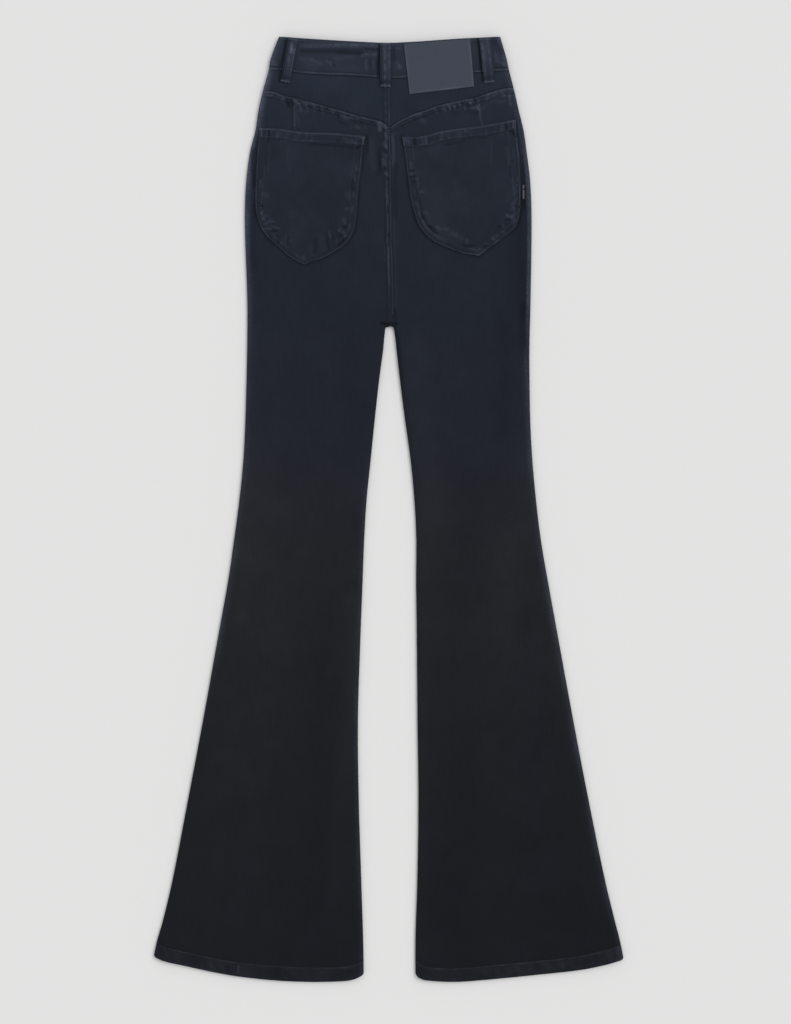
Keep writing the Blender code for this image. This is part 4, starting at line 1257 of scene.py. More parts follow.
def yokePiece(word, side):
    columns = columnSet(*yokeGrid["columns"])
    foot = levelOn(yokeLine, side, columns) + lay["seamGap"] / 2
    head = levelOn(backSeamLine, side, columns) - lay["seamGap"] / 2
    y = foot[None, :] + (head - foot)[None, :] * np.linspace(0, 1, yokeGrid["rows"])[:, None]
    x, z, wearAndPaintedLight = panelShell(side, True, columns, y, lambda s, px, py, *_: yokeRelief(s, px, py))
    names = f"backYoke{word.title()}", f"back_yoke_{word}"
    return clothGrid(*names, x, y, z, wearAndPaintedLight, "denimYoke", lay["cloth"], side < 0)


bandLook = {
    "columns": (5, 4, 108, 10),
    "rows": 34,
    "topRow": 0.0036,
    "footRow": 0.0020,
    "groove": 0.00022,
    "topPitch": 0.0085,
    "topGather": 0.00034,
    "footPitch": 0.0120,
    "footGather": 0.00018,
    "topDrop": 0.00090,
    "footDrop": 0.00050,
    "topWear": 0.34,
    "topRowWear": -0.22,
    "blotchWear": 0.08,
    "footWearAndPaintedLight": 0.70,
    "footRowWear": -0.30,
    "backSeed": 91,
    "frontSeed": 95,
}


def bandRelief(x, y, head, foot, back):
    look = bandLook
    fromTop, fromFoot = head - y, y - foot
    seed = look["backSeed" if back else "frontSeed"]
    lift, wearAndPaintedLight = marksRelief(bandMarks if back else (), x, y, 1.0)
    lift = lift + uneven(x, y, unevenRise["band"], seed)
    rows = hump(fromTop - look["topRow"], 0.0006) + groove(fromFoot - look["footRow"])
    lift = lift - look["groove"] * rows
    pucker = gathers(x, fromTop, look["topPitch"], seed + 2)
    lift += look["topGather"] * pucker * hump(fromTop - 0.0045, 0.0030)
    footPucker = gathers(x, fromFoot, look["footPitch"], seed + 3)
    lift += look["footGather"] * footPucker * hump(fromFoot - 0.0040, 0.0025)
    lift -= look["topDrop"] * (1 - ease(fromTop / 0.0014)) + look["footDrop"] * (1 - ease(fromFoot / 0.0008))
    wearAndPaintedLight = wearAndPaintedLight + look["topWear"] * hump(fromTop - 0.0016, 0.0022) * (0.5 + 0.6 * pucker)
    wearAndPaintedLight += look["blotchWear"] * softNoise(x, y, 0.016, seed + 5)
    patchy = 0.65 + 0.60 * softNoise(x, y, 0.014, seed + 4)
    wearAndPaintedLight += look["footWearAndPaintedLight"] * hump(fromFoot - 0.0009, 0.0011) * patchy
    wearAndPaintedLight += look["footRowWear"] * hump(fromFoot - 0.0030, 0.0010)
    wearAndPaintedLight += look["topRowWear"] * hump(fromTop - look["topRow"] - 0.0010, 0.0008)
    return lift, wearAndPaintedLight


def bandPiece(word, side):
    # across the back, round the side and back along the front
    middle = (lay["bandOver"] + lay["bandUnder"]) / 2
    half = (lay["bandOver"] - lay["bandUnder"]) / 2
    across = columnSet(*bandLook["columns"])
    halves = []
    for facing, columns, seamLine, topLine in (
        (1, across, backSeamLine, backTopLine),
        (-1, across[-2::-1], frontSeamLine, frontTopLine),
    ):
        zone, share = columns[:, 0][None, :], columns[:, 1][None, :]
        foot = levelOn(seamLine, side, columns) + lay["seamGap"] / 2
        head = levelOn(topLine, side, columns)
        y = foot[None, :] + (head - foot)[None, :] * ease(np.linspace(0, 1, bandLook["rows"]))[:, None]
        plan = np.stack([planX(side, columns, row) for row in y])
        angle = np.where(zone == 2, share * np.pi / 2, 0.0)
        x = np.where(zone == 2, sideEdge(side, y) - side * lay["sideRoll"] * (1 - np.sin(angle)), plan)
        lift, wearAndPaintedLight = bandRelief(plan, y, head[None, :], foot[None, :], facing > 0)
        z = middle + facing * (half + lift) * np.cos(angle)
        halves.append((x, y, z, wearAndPaintedLight + rimWearAndPaintedLight(side, x, y)))
    parts = [np.concatenate(part, axis=1) for part in zip(*halves)]
    names = f"waistband{word.title()}", f"waistband_{word}"
    return clothGrid(*names, *parts, "denimBand", lay["bandCloth"], side < 0)


for word, side in (("left", -1), ("right", 1)):
    legPiece(word, side, True)
    legPiece(word, side, False)
    yokePiece(word, side)
    bandPiece(word, side)

print("pockets")

pocketMarks = {
    "left": (
        (-160.2, 410.5, -160.2, 403, 1.9, 0.50), (-155.9, 393, -150.9, 391.8, 3.1, 0.35),
        (-159.6, 370.5, -156.5, 361.8, 2.0, 0.55), (-150, 359.7, -145.5, 359.7, 1.6, 0.60),
        (-145, 359.5, -141.6, 359.4, 1.4, 0.30), (-155.9, 356.8, -150.9, 356.8, 1.5, 0.40),
        (-155.5, 350.6, -147.5, 350, 1.5, 0.60), (-146.5, 353.2, -137, 351, 1.8, 0.35),
        (-147.1, 347.4, -140.9, 348, 1.4, -0.50), (-144, 344.2, -142.1, 336.8, 1.6, 0.38),
        (-132.1, 333, -128.4, 340.5, 2.8, 0.15), (-139, 341.8, -137.1, 331.8, 1.4, -0.40),
        (-156.5, 350.5, -150.9, 341.8, 1.5, 0.50), (-158.4, 379.9, -157.8, 378, 1.6, -0.60),
        (-115.9, 318, -108.4, 312.4, 1.9, 0.40), (-98.4, 328, -95.9, 315.5, 2.5, 0.12),
        (-91.5, 336.8, -92.1, 319.2, 1.4, -0.42), (-83.4, 339.2, -80.2, 324.2, 3.4, 0.14),
        (-76.5, 339.2, -75.2, 325.5, 1.8, -0.40), (-74.2, 346.8, -73, 338.6, 1.5, 0.65),
        (-62.7, 347.6, -59.6, 349.2, 2.2, 0.60), (-57.1, 346.1, -54.6, 340.5, 2.0, 0.55),
        (-62.1, 341.8, -58.4, 341.8, 1.6, -0.50), (-64.6, 329.2, -55.9, 337.4, 1.9, -0.55),
        (-65.2, 335.5, -64.6, 329.2, 1.8, 0.45), (-59.6, 337.4, -54.6, 338.6, 1.5, 0.40),
        (-55.9, 363, -54.6, 356.8, 2.5, 0.50), (-56.5, 352.4, -51.5, 353.6, 1.6, -0.55),
        (-50.2, 355.5, -49, 351.8, 1.8, 0.60), (-45.9, 378, -45.5, 371.8, 1.9, 0.50),
        (-53.4, 375.5, -50.9, 375.5, 2.9, 0.35), (-51.5, 394.2, -50.9, 388, 3.2, 0.40),
        (-44, 395.5, -43.4, 390.5, 1.6, 0.40), (-40.9, 428, -39.6, 424.2, 2.0, 0.45),
        (-42.1, 415.5, -42.1, 410.5, 2.0, 0.30), (-45.9, 411.8, -45.9, 399.2, 1.9, -0.30),
        (-153.4, 458, -153.4, 430.5, 1.4, -0.35), (-150, 458, -150, 421.8, 1.5, 0.20),
        (-124.6, 451.8, -124.6, 421.8, 2.5, 0.12), (-139.6, 469.2, -139.6, 464.2, 1.6, 0.35),
        (-161.0, 475.0, -159.0, 474.8, 1.6, 0.80), (-150.1, 473, -150.1, 459.2, 1.5, -0.60),
        (-55.9, 462.4, -48.4, 456.8, 2.8, 0.40), (-45.9, 460.5, -39.6, 455.5, 2.2, 0.40),
        (-34.5, 464.0, -31.5, 463.5, 1.8, 0.60), (-64, 460.5, -62.7, 459.2, 1.9, -0.50),
        (-40.2, 453, -37.1, 453, 1.9, -0.40),
        (-106.0, 315.0, -104.0, 311.0, 2.6, 0.40), (-131.0, 460.5, -97.0, 459.2, 1.1, 0.35),
        (-97.0, 459.2, -53.0, 456.2, 1.1, 0.30), (-97.0, 456.0, -36.0, 451.8, 1.5, -0.40),
        (-153.4, 366.4, -150.6, 366.2, 1.4, 0.40), (-122.4, 343, -123.4, 334, 1.6, 0.20),
        (-125.5, 341, -126, 331, 1.5, -0.24), (-51.6, 357.3, -51.2, 356.5, 1.3, -0.50),
        (-56.8, 353.8, -54.4, 352.6, 1.2, -0.55), (-59.8, 350.4, -59.2, 349, 1.1, -0.45),
        (-64.6, 347.4, -62.9, 344.2, 1.2, -0.45), (-57.3, 336, -54.4, 338.4, 1.3, -0.50),
    ),
    "right": (
        (27.3, 433, 28.5, 426.8, 1.9, 0.45), (27.9, 420.5, 28.5, 417.4, 2.1, 0.55),
        (26.6, 422.6, 30.4, 423, 1.5, -0.50), (26.6, 415.7, 32.9, 416.1, 1.4, -0.50),
        (30.4, 409.2, 33.5, 409.2, 1.6, -0.45), (31.6, 399.2, 32.9, 393, 1.9, 0.35),
        (35.4, 414.2, 36.6, 404.2, 2.0, 0.30), (39.1, 396.8, 42.9, 396.8, 2.2, 0.45),
        (35.4, 395.5, 38.5, 384.2, 1.6, -0.35), (34.1, 383, 35.4, 379.2, 2.0, 0.50),
        (38.3, 370.5, 39.1, 365.5, 1.9, 0.60), (40.4, 370.5, 43.5, 363, 1.8, -0.45),
        (44.1, 371.1, 46.6, 370.5, 2.2, 0.45), (42.3, 359.9, 44.1, 357.4, 2.0, 0.50),
        (45.4, 354.2, 49.1, 350.5, 1.8, 0.50), (50.4, 353.6, 53.5, 351.8, 1.9, -0.65),
        (51.6, 348.6, 55.4, 346.8, 1.9, 0.40), (55.4, 348.6, 60.4, 344.9, 1.6, -0.40),
        (60.4, 353, 62.9, 349.9, 2.1, 0.60), (69.1, 350.5, 72.9, 349.9, 2.5, 0.40),
        (77.9, 345.5, 82.9, 343, 3.1, 0.35), (86.6, 341.8, 91.6, 339.2, 3.1, 0.25),
        (71.6, 332.4, 79.1, 331.1, 1.9, -0.30), (97.3, 336.8, 97.9, 331.8, 2.0, 0.45),
        (94.1, 329.9, 104.1, 329.2, 1.8, -0.50), (101.6, 324.2, 106.6, 324.9, 1.6, 0.35),
        (117.9, 329.2, 121.6, 328, 1.9, -0.35), (129.8, 340.5, 132.2, 335.5, 1.8, 0.60),
        (132.2, 332.4, 136.6, 336.1, 1.5, 0.60), (134.1, 341.8, 135.4, 338, 1.5, 0.40),
        (141, 355.8, 143.4, 353.6, 1.5, 0.45), (136.6, 352.4, 139.8, 354.2, 1.8, -0.55),
        (142.9, 345.5, 146.6, 344.9, 2.0, 0.30), (147.2, 367.4, 151.6, 365.5, 2.0, 0.80),
        (146.6, 361.8, 150.4, 361.8, 1.6, -0.50), (154.1, 365.5, 157.9, 360.5, 2.2, 0.60),
        (155.4, 358, 159.1, 353, 2.0, 0.45), (154.8, 379.2, 155.4, 374.2, 2.2, 0.40),
        (159.1, 378, 162.9, 378, 1.8, -0.50), (152.9, 381.8, 161.6, 382, 1.2, 0.30),
        (154.8, 411.8, 156, 396.8, 2.5, 0.25), (148.5, 451.8, 150.4, 430.5, 2.2, 0.30),
        (154.8, 449.2, 156, 439.2, 1.9, 0.25), (152.9, 449.2, 152.2, 418, 1.5, -0.20),
        (161, 415.5, 161.6, 409.2, 1.5, 0.35), (127.9, 461.8, 128.5, 426.8, 1.2, 0.25),
        (41.6, 463, 42.9, 458, 2.2, 0.40), (46.6, 463.6, 47.3, 458, 1.9, 0.40),
        (49.8, 464.2, 50.4, 458, 1.2, -0.40), (54.1, 464.2, 54.1, 460.5, 1.2, -0.35),
        (59.1, 465.5, 60.4, 460.5, 1.2, -0.35), (66.6, 469.2, 65.4, 461.8, 1.6, 0.45),
        (71.6, 468, 75.4, 464.2, 1.5, 0.30), (87.9, 470.5, 87.9, 463, 3.5, 0.35),
        (95.4, 472.1, 100.4, 471.8, 1.5, 0.30), (121.6, 473, 121.6, 466.8, 2.2, 0.40),
        (141.6, 478, 141.6, 469.2, 2.5, 0.35), (146.6, 480.5, 147.9, 473, 1.6, -0.60),
        (147.2, 471.8, 149.1, 470.5, 1.6, 0.50), (152.9, 471.8, 159.1, 466.8, 2.5, -0.50),
        (32.3, 463, 32.9, 455.5, 2.0, -0.60), (20.5, 461.0, 24.5, 458.5, 2.6, 0.55),
        (154.5, 484.0, 157.5, 483.5, 1.8, 0.55),
        (111.6, 321.5, 112.6, 319.0, 2.4, 0.40), (37.9, 454.3, 64.1, 458.0, 1.1, 0.32),
        (71.6, 456.1, 94.1, 459.9, 1.5, -0.40), (114.1, 463.6, 122.9, 464.9, 1.4, -0.35),
        (38.4, 384.5, 42.4, 366.5, 1.2, -0.42), (43.4, 364.5, 49.6, 353.4, 1.3, -0.45),
        (51, 351.5, 56.4, 346.6, 1.3, -0.50), (57.6, 343.6, 66, 337.4, 1.3, 0.35),
    ),
}
pocketLook = {
    "band": 0.0121,
    "bandRise": 0.00075,
    "fold": 0.0120,
    "foldRise": 0.00035,
    "firstRow": 0.0017,
    "secondRow": 0.0104,
    "secondFoot": 0.0074,
    "bandRow": 0.0104,
    "groove": 0.00020,
    "edgeDrop": 0.00085,
    "pitch": 0.0090,
    "gather": 0.00032,
    "topPitch": 0.0095,
    "topGather": 0.00022,
    "edgeWear": 0.36,
    "firstRowWear": -0.30,
    "secondRowWear": 0.05,
    "gatherWear": 0.28,
    "topWear": 0.60,
    "bandRowWear": 0.12,
    "topGatherWear": 0.20,
    "underBandPaintedShade": -0.28,
    "columns": 141,
    "rows": 150,
    "bandRows": 14,
    "wall": 0.0010,
}


def pocketPlan(outline, uShares, rows, bandRows):
    left, right = outline["left"], outline["right"]
    leftStart = pocketLook["band"] / pathLength(left)
    rightStart = pocketLook["band"] / pathLength(right)
    u = uShares[:, None]

    def bandPoints(share):
        shiftLeft = curveThrough(left, leftStart * share) - np.array(left[0])
        shiftRight = curveThrough(right, rightStart * share) - np.array(right[0])
        return curveThrough(outline["top"], uShares) + mix(shiftLeft, shiftRight, u)

    head, foot = bandPoints(1.0), footPoints(outline, uShares)
    plan = [bandPoints(i / bandRows) for i in range(bandRows)]
    for i in range(rows + 1):
        v = i / rows
        v = mix(v, 1 - (1 - v) ** 1.6, 0.45)
        onLeft = curveThrough(left, mix(leftStart, 1.0, v))
        onRight = curveThrough(right, mix(rightStart, 1.0, v))
        corners = mix(mix(head[0], head[-1], u), mix(foot[0], foot[-1], u), v)
        plan.append(mix(head, foot, v) + mix(onLeft, onRight, u) - corners)
    return np.array(plan)


def coverHeight(x, y):
    # what loops, pockets and the patch lie on
    below = (backSeamLine(x) - y) / lay["bandEase"]
    fromFell = np.abs(x - fellBed["seamX"] + fellBed["middle"])
    overFell = fellBed["rise"] * (1 - ease((fromFell - fellBed["half"]) / fellBed["ease"]))
    panel = np.where(x < fellBed["seamX"], backHeight(-1, x, y), backHeight(1, x, y)) + overFell
    return mix(lay["bandOver"], panel, np.clip(below, 0, 1))


def footShare(along, total):
    # 0 along a pocket's straight sides, 1 round its foot
    return ease((along - 0.16 * total) / (0.12 * total)) * ease((0.84 * total - along) / (0.12 * total))


def pocketSurface(word, x, y):
    outline, look = pocketOutlines[word], pocketLook
    side, seed = (-1, 110) if word == "left" else (1, 130)
    sewn = sewnOutline(outline)
    fromEdge, along = nearestOn(sewn, x, y)
    fromTop, alongTop = nearestOn(curveThrough(outline["top"], np.linspace(0, 1, 60)), x, y)
    total = pathLength(sewn)
    curved = footShare(along, total)
    second = mix(look["secondRow"], look["secondFoot"], curved)

    inBand = 1 - ease((fromTop - look["band"] + 0.0006) / 0.0010)
    onFold = 1 - ease((fromEdge - look["fold"] + 0.003 * curved) / 0.0018)
    lift = look["bandRise"] * inBand + look["foldRise"] * onFold * (1 - inBand)
    rows = groove(fromEdge - look["firstRow"]) + 0.7 * groove(fromEdge - second) * (1 - inBand)
    rows += groove(fromTop - look["firstRow"]) + 0.8 * groove(fromTop - look["bandRow"])
    lift -= look["groove"] * np.minimum(rows, 1.2)
    pucker = gathers(along, fromEdge, look["pitch"], seed, 0.9)
    reach = hump(fromEdge - 0.0060, 0.0040) * (0.35 + 0.65 * curved) * (1 - 0.7 * inBand)
    lift += look["gather"] * pucker * reach
    bandPucker = gathers(alongTop, fromTop, look["topPitch"], seed + 6, 0.3)
    lift += look["topGather"] * bandPucker * hump(fromTop - 0.0058, 0.0032) * inBand
    lift += uneven(x, y, unevenRise["pocket"], seed + 7)
    marks, tones = marksRelief(pocketMarks[word], x, y)
    showThrough, _ = panelSeamRelief(side, x, y)
    tones = np.where(tones > 0, 0.58 * tones, tones)
    lift += marks + 0.8 * showThrough
    drop = look["edgeDrop"] * (1 - ease(np.minimum(fromEdge, fromTop) / 0.0014))

    paleness = 0.5 + 0.5 * softNoise(along, 0.0, 0.016, seed + 9)
    wornTop = 0.5 + 0.5 * softNoise(alongTop, 0.0, 0.014, seed + 10)
    wearAndPaintedLight = tones + uneven(x, y, unevenWear["pocket"], seed + 11)
    kept = np.clip(1 + marksAt(x, y, dullRows), 0, 1)
    wearAndPaintedLight += look["edgeWear"] * hump(fromEdge - 0.0011, 0.0011) * (0.05 + 1.2 * paleness**1.5) * kept
    besideFirst = hump(fromEdge - look["firstRow"] - 0.0012, 0.0009)
    wearAndPaintedLight += look["firstRowWear"] * besideFirst * (0.4 + 0.6 * curved)
    alongSecond = look["secondRowWear"] * hump(fromEdge - second, 0.0009) * paleness * (1 - inBand)
    wearAndPaintedLight += alongSecond + look["gatherWear"] * (pucker - 0.25) * reach
    wearAndPaintedLight += look["topWear"] * hump(fromTop - 0.0011, 0.0012) * (0.3 + 0.9 * wornTop)
    alongBandRow = look["bandRowWear"] * hump(fromTop - look["bandRow"], 0.0008) * wornTop
    wearAndPaintedLight += alongBandRow + look["topGatherWear"] * (bandPucker - 0.2) * inBand
    # painted shade under the raised band's lower edge
    wearAndPaintedLight += look["underBandPaintedShade"] * hump(fromTop - look["band"] - 0.0008, 0.0012)
    under = coverHeight(x, y) + lay["laidOn"]
    return under + lay["cloth"] + lift - drop, wearAndPaintedLight


def pocketPiece(word):
    look = pocketLook
    u = np.linspace(0, 1, look["columns"])
    u = mix(u, ease(u), 0.55)
    plan = pocketPlan(pocketOutlines[word], u, look["rows"], look["bandRows"])
    x, y = plan[..., 0], plan[..., 1]
    z, wearAndPaintedLight = pocketSurface(word, x, y)
    names = f"backPocket{word.title()}", f"back_pocket_{word}"
    return clothGrid(*names, x, y, z, wearAndPaintedLight, "denimPocket", look["wall"], True)


for word in ("left", "right"):
    pocketPiece(word)

print("belt loops, patch, tab and button")

loopLook = {
    "thick": 0.0014,
    "wall": 0.0013,
    "slack": 0.0013,
    "rowInset": 0.0033,
    "columns": 23,
    "rows": 64,
    "frontWidth": 0.0130,
    "frontFall": 0.0560,
    "footTack": 0.0060,
    "footPinch": 0.00060,
    "topTack": 0.0052,
    "topPinch": 0.00050,
    "ridge": 0.00032,
    "groove": 0.00016,
    "sideDrop": 0.00080,
    "endDrop": 0.00050,
    "ridgeWear": 0.55,
    "endWear": 0.50,
    "tackPaintedShade": -0.60,
}
# each loop's ridges across it in millimetres, the line of its painted highlight in millimetres, the strength
# of the painted shade along its left edge, and how pale it is from foot to top, partly wear and partly
# painted highlight
backLoops = {
    "left": {
        "top": (-0.1195, 0.5888),
        "foot": (-0.1295, 0.5330),
        "width": 0.0120,
        "ridges": (0.6, 4.9),
        "lit": 0.5,
        "shade": 0.70,
        "paleness": (
            (0, 0.1), (0.06, 0.0), (0.14, -0.35), (0.28, 0.0), (0.45, 0.45),
            (0.62, 0.9), (0.75, 1.6), (0.88, 0.9), (1, 0.4),
        ),
        "seed": 150,
    },
    "centre": {
        "top": (-0.0041, 0.5826),
        "foot": (-0.0041, 0.5272),
        "width": 0.0131,
        "ridges": (-1.0, 5.2),
        "lit": -1.0,
        "shade": 0.55,
        "paleness": (
            (0, 0.6), (0.05, 0.4), (0.12, -0.45), (0.20, 0.1),
            (0.32, 0.50), (0.60, 0.40), (0.85, 0.50), (1, 0.3),
        ),
        "seed": 157,
    },
    "right": {
        "top": (0.1197, 0.5890),
        "foot": (0.1259, 0.5324),
        "width": 0.0138,
        "ridges": (-5.2, -3.4, 3.2),
        "lit": -4.0,
        "shade": 0.0,
        "paleness": ((0, 0.3), (0.05, 0.1), (0.13, -0.35), (0.30, 0.10), (0.45, 0.35), (0.75, 0.45), (1, 0.3)),
        "seed": 164,
    },
}
frontLoops = {"left": -0.0650, "right": 0.0700}


def frontLoopWays(i, x):
    # the front loops hang straight down from the front's top edge, and are plain
    head = float(frontTopLine(np.array(x)))
    return {
        "top": (x, head),
        "foot": (x, head - loopLook["frontFall"]),
        "width": loopLook["frontWidth"],
        "ridges": (0.0,),
        "lit": 0.0,
        "shade": 0.0,
        "paleness": ((0, 0.1), (1, 0.1)),
        "seed": 180 + 7 * i,
    }


def loopPlace(top, foot, across, along, width):
    lean = math.atan2(top[0] - foot[0], top[1] - foot[1])
    x = mix(foot[0], top[0], along) + math.cos(lean) * across * width / 2
    y = mix(foot[1], top[1], along) - math.sin(lean) * across * width / 2
    return x, y


def loopSurface(ways, across, along, back):
    look = loopLook
    top, foot, width = ways["top"], ways["foot"], ways["width"]
    x, y = loopPlace(top, foot, across, along, width)
    length = math.dist(top, foot)
    fromSide = (1 - np.abs(across)) * width / 2
    fromEnd = np.minimum(along, 1 - along) * length
    fromFoot = along * length
    fromLine = across * width / 2
    sways = (r / 1000 + 0.0003 * np.sin(9 * along + r) for r in ways["ridges"])
    ridges = sum(hump(fromLine - sway, 0.0009) for sway in sways)
    lift = look["ridge"] * ridges - look["groove"] * hump(fromSide - look["rowInset"], 0.0004)
    lift = lift - look["sideDrop"] * (1 - ease(fromSide / 0.0022))
    lift = lift - look["endDrop"] * (1 - ease(fromEnd / 0.0010))
    lift = lift - look["footPinch"] * hump(fromFoot - look["footTack"], 0.0020)
    lift = lift - look["topPinch"] * hump(fromFoot - length + look["topTack"], 0.0018)
    patchy = softNoise(x, y, 0.0045, ways["seed"])
    lift = lift + 0.00010 * patchy
    # a painted highlight along the lit line, laid over the loop's wear
    lit = 0.30 + 0.70 * hump(fromLine - ways["lit"] / 1000, 0.0030)
    wearAndPaintedLight = smoothCurve(ways["paleness"], along) * lit * (0.5 + 0.5 * patchy)
    # the ridges are painted paler, partly wear and partly painted highlight
    wearAndPaintedLight = wearAndPaintedLight + look["ridgeWear"] * ridges * (0.55 + 0.6 * patchy)
    wearAndPaintedLight = wearAndPaintedLight + look["endWear"] * hump(fromEnd, 0.0013)
    # painted shade in the pinch by the foot tack
    wearAndPaintedLight = wearAndPaintedLight + look["tackPaintedShade"] * hump(fromFoot - 0.0058, 0.0020)
    # painted shade along the loop's left edge, away from the light
    wearAndPaintedLight = wearAndPaintedLight - ways["shade"] * hump(fromLine + width / 2 - 0.0016, 0.0018)
    if back:
        slack = look["slack"] * np.sin(np.pi * along) ** 0.7
        z = coverHeight(x, y) + lay["laidOn"] + slack + look["thick"] + lift
    else:
        z = np.maximum(0.00002, -0.5 * lift)
    return x, y, z, wearAndPaintedLight


def loopPiece(word, half, ways):
    back = half == "back"
    across, along = np.meshgrid(
        np.linspace(-1, 1, loopLook["columns"]), np.linspace(0, 1, loopLook["rows"])
    )
    names = f"{half}Loop{word.title()}", f"belt_loop_{half}_{word}"
    surface = loopSurface(ways, across, along, back)
    return clothGrid(*names, *surface, "denimLoop", loopLook["wall"], not back)


loops = [loopPiece(word, "back", ways) for word, ways in backLoops.items()]
loops += [loopPiece(word, "front", frontLoopWays(i, x)) for i, (word, x) in enumerate(frontLoops.items())]

patchLook = {
    "corners": ((0.0185, 0.5815), (0.1018, 0.5875), (0.1068, 0.5280), (0.0258, 0.5184)),
    "width": 0.0834,
    "height": 0.0610,
    "thick": 0.0012,
    "wall": 0.0010,
    "edge": 0.0008,
    "rounding": 0.0010,
    "grooveInset": 0.0026,
    "groove": 0.00012,
    "swell": 0.00014,
    "edgeWear": 0.34,
    "cells": 56,
}


def patchPiece():
    topLeft, topRight, footRight, footLeft = (np.array(c) for c in patchLook["corners"])
    shares = np.linspace(0, 1, patchLook["cells"])
    shares = mix(shares, ease(shares), 0.6)
    u, v = np.meshgrid(shares, shares)
    plan = mix(mix(footLeft, footRight, u[..., None]), mix(topLeft, topRight, u[..., None]), v[..., None])
    x, y = plan[..., 0], plan[..., 1]
    fromSide = np.minimum(u, 1 - u) * patchLook["width"]
    fromEnd = np.minimum(v, 1 - v) * patchLook["height"]
    fromEdge = np.minimum(fromSide, fromEnd)
    z = coverHeight(x, y) + lay["laidOn"] + patchLook["thick"]
    rounding = 1 - np.clip(fromEdge / patchLook["rounding"], 0, 1)
    z -= patchLook["edge"] * (1 - np.sqrt(1 - rounding**2))
    z -= patchLook["groove"] * hump(fromEdge - patchLook["grooveInset"], 0.0006)
    z += patchLook["swell"] * softNoise(x, y, 0.030, 201)
    # the rubbed edge ends below the patch's top
    patchy = 0.55 + 0.6 * softNoise(x, y, 0.012, 202)
    wearAndPaintedLight = patchLook["edgeWear"] * hump(fromEdge - 0.0008, 0.0016) * patchy * (v < 0.93)
    return clothGrid("waistPatch", "waist_patch", x, y, z, wearAndPaintedLight, "patch", patchLook["wall"])


tabLook = {
    "x": 0.1673,
    "foot": 0.3880,
    "length": 0.0175,
    "width": 0.0021,
    "pinch": 0.3999,
    "cells": (30, 14),
    "wall": 0.00012,
}


def tabPiece():
    # a folded woven tape, its fold outwards
    s, t = np.meshgrid(*(np.linspace(0, 1, count) for count in tabLook["cells"]), indexing="ij")
    y = tabLook["foot"] + tabLook["length"] * s
    pinch = hump(y - tabLook["pinch"], 0.0011)
    x = tabLook["x"] + tabLook["width"] * np.sin(np.pi * t) ** 0.6 * (1 - 0.85 * pinch)
    base = coverHeight(np.full_like(x, tabLook["x"] + 0.0007), y) + lay["laidOn"]
    z = base + 0.0004 - 0.0003 * np.cos(np.pi * t) + 0.00004 * np.sin(60 * s)
    return clothGrid("sideTab", "side_tab", x, y, z, np.zeros_like(x), "tab", tabLook["wall"])


buttonLook = {
    "x": -0.0090,
    "radius": 0.0085,
    "thick": 0.0017,
    "turns": 48,
    # shares of the radius and the thickness: boss, dish, rim and back
    "profile": (
        (0.0, 0.30), (0.22, 0.30), (0.26, 0.42), (0.34, 0.46), (0.62, 0.40), (0.74, 0.10), (0.82, 0.0),
        (0.92, 0.04), (0.98, 0.16), (1.0, 0.34), (0.99, 0.62), (0.92, 0.86), (0.80, 1.0), (0.0, 1.0),
    ),
}


def buttonPiece():
    # a turned head: low rim, shallow dish and a small boss, facing down
    x, radius, thick, turns, profile = (buttonLook[k] for k in ("x", "radius", "thick", "turns", "profile"))
    y = float((frontSeamLine(np.array(x)) + frontTopLine(np.array(x))) / 2)
    points, faces = [], []
    for share, depth in profile:
        for k in range(turns):
            a = 2 * math.pi * k / turns
            r = max(share * radius, 0.00002)
            points.append((x + r * math.cos(a), y + r * math.sin(a), depth * thick))
    for ring in range(len(profile) - 1):
        for k in range(turns):
            a, b = ring * turns + k, ring * turns + (k + 1) % turns
            faces.append((a, a + turns, b + turns, b))
    faces.append(tuple(range(turns)))
    faces.append(tuple(reversed(range((len(profile) - 1) * turns, len(profile) * turns))))
    mesh = bpy.data.meshes.new("waistButton")
    mesh.from_pydata(points, [], faces)
    mesh.validate()
    return linkPiece("waistButton", mesh, "button", "waist_button")


patch = patchPiece()
tab = tabPiece()
button = buttonPiece()

print("stitching")

stitchLook = {
    "pitch": 0.0033,
    "length": 0.0022,
    "radius": 0.00022,
    "thick": 0.00032,
    "thin": 0.00017,
    "sides": 5,
    # along the stitch, share of the radius, how far it stands out of the cloth
    "rings": ((-0.5, 0.35, -0.9), (-0.28, 0.95, 0.05), (0.28, 0.95, 0.05), (0.5, 0.35, -0.9)),
    "underLevel": 0.00032,
}


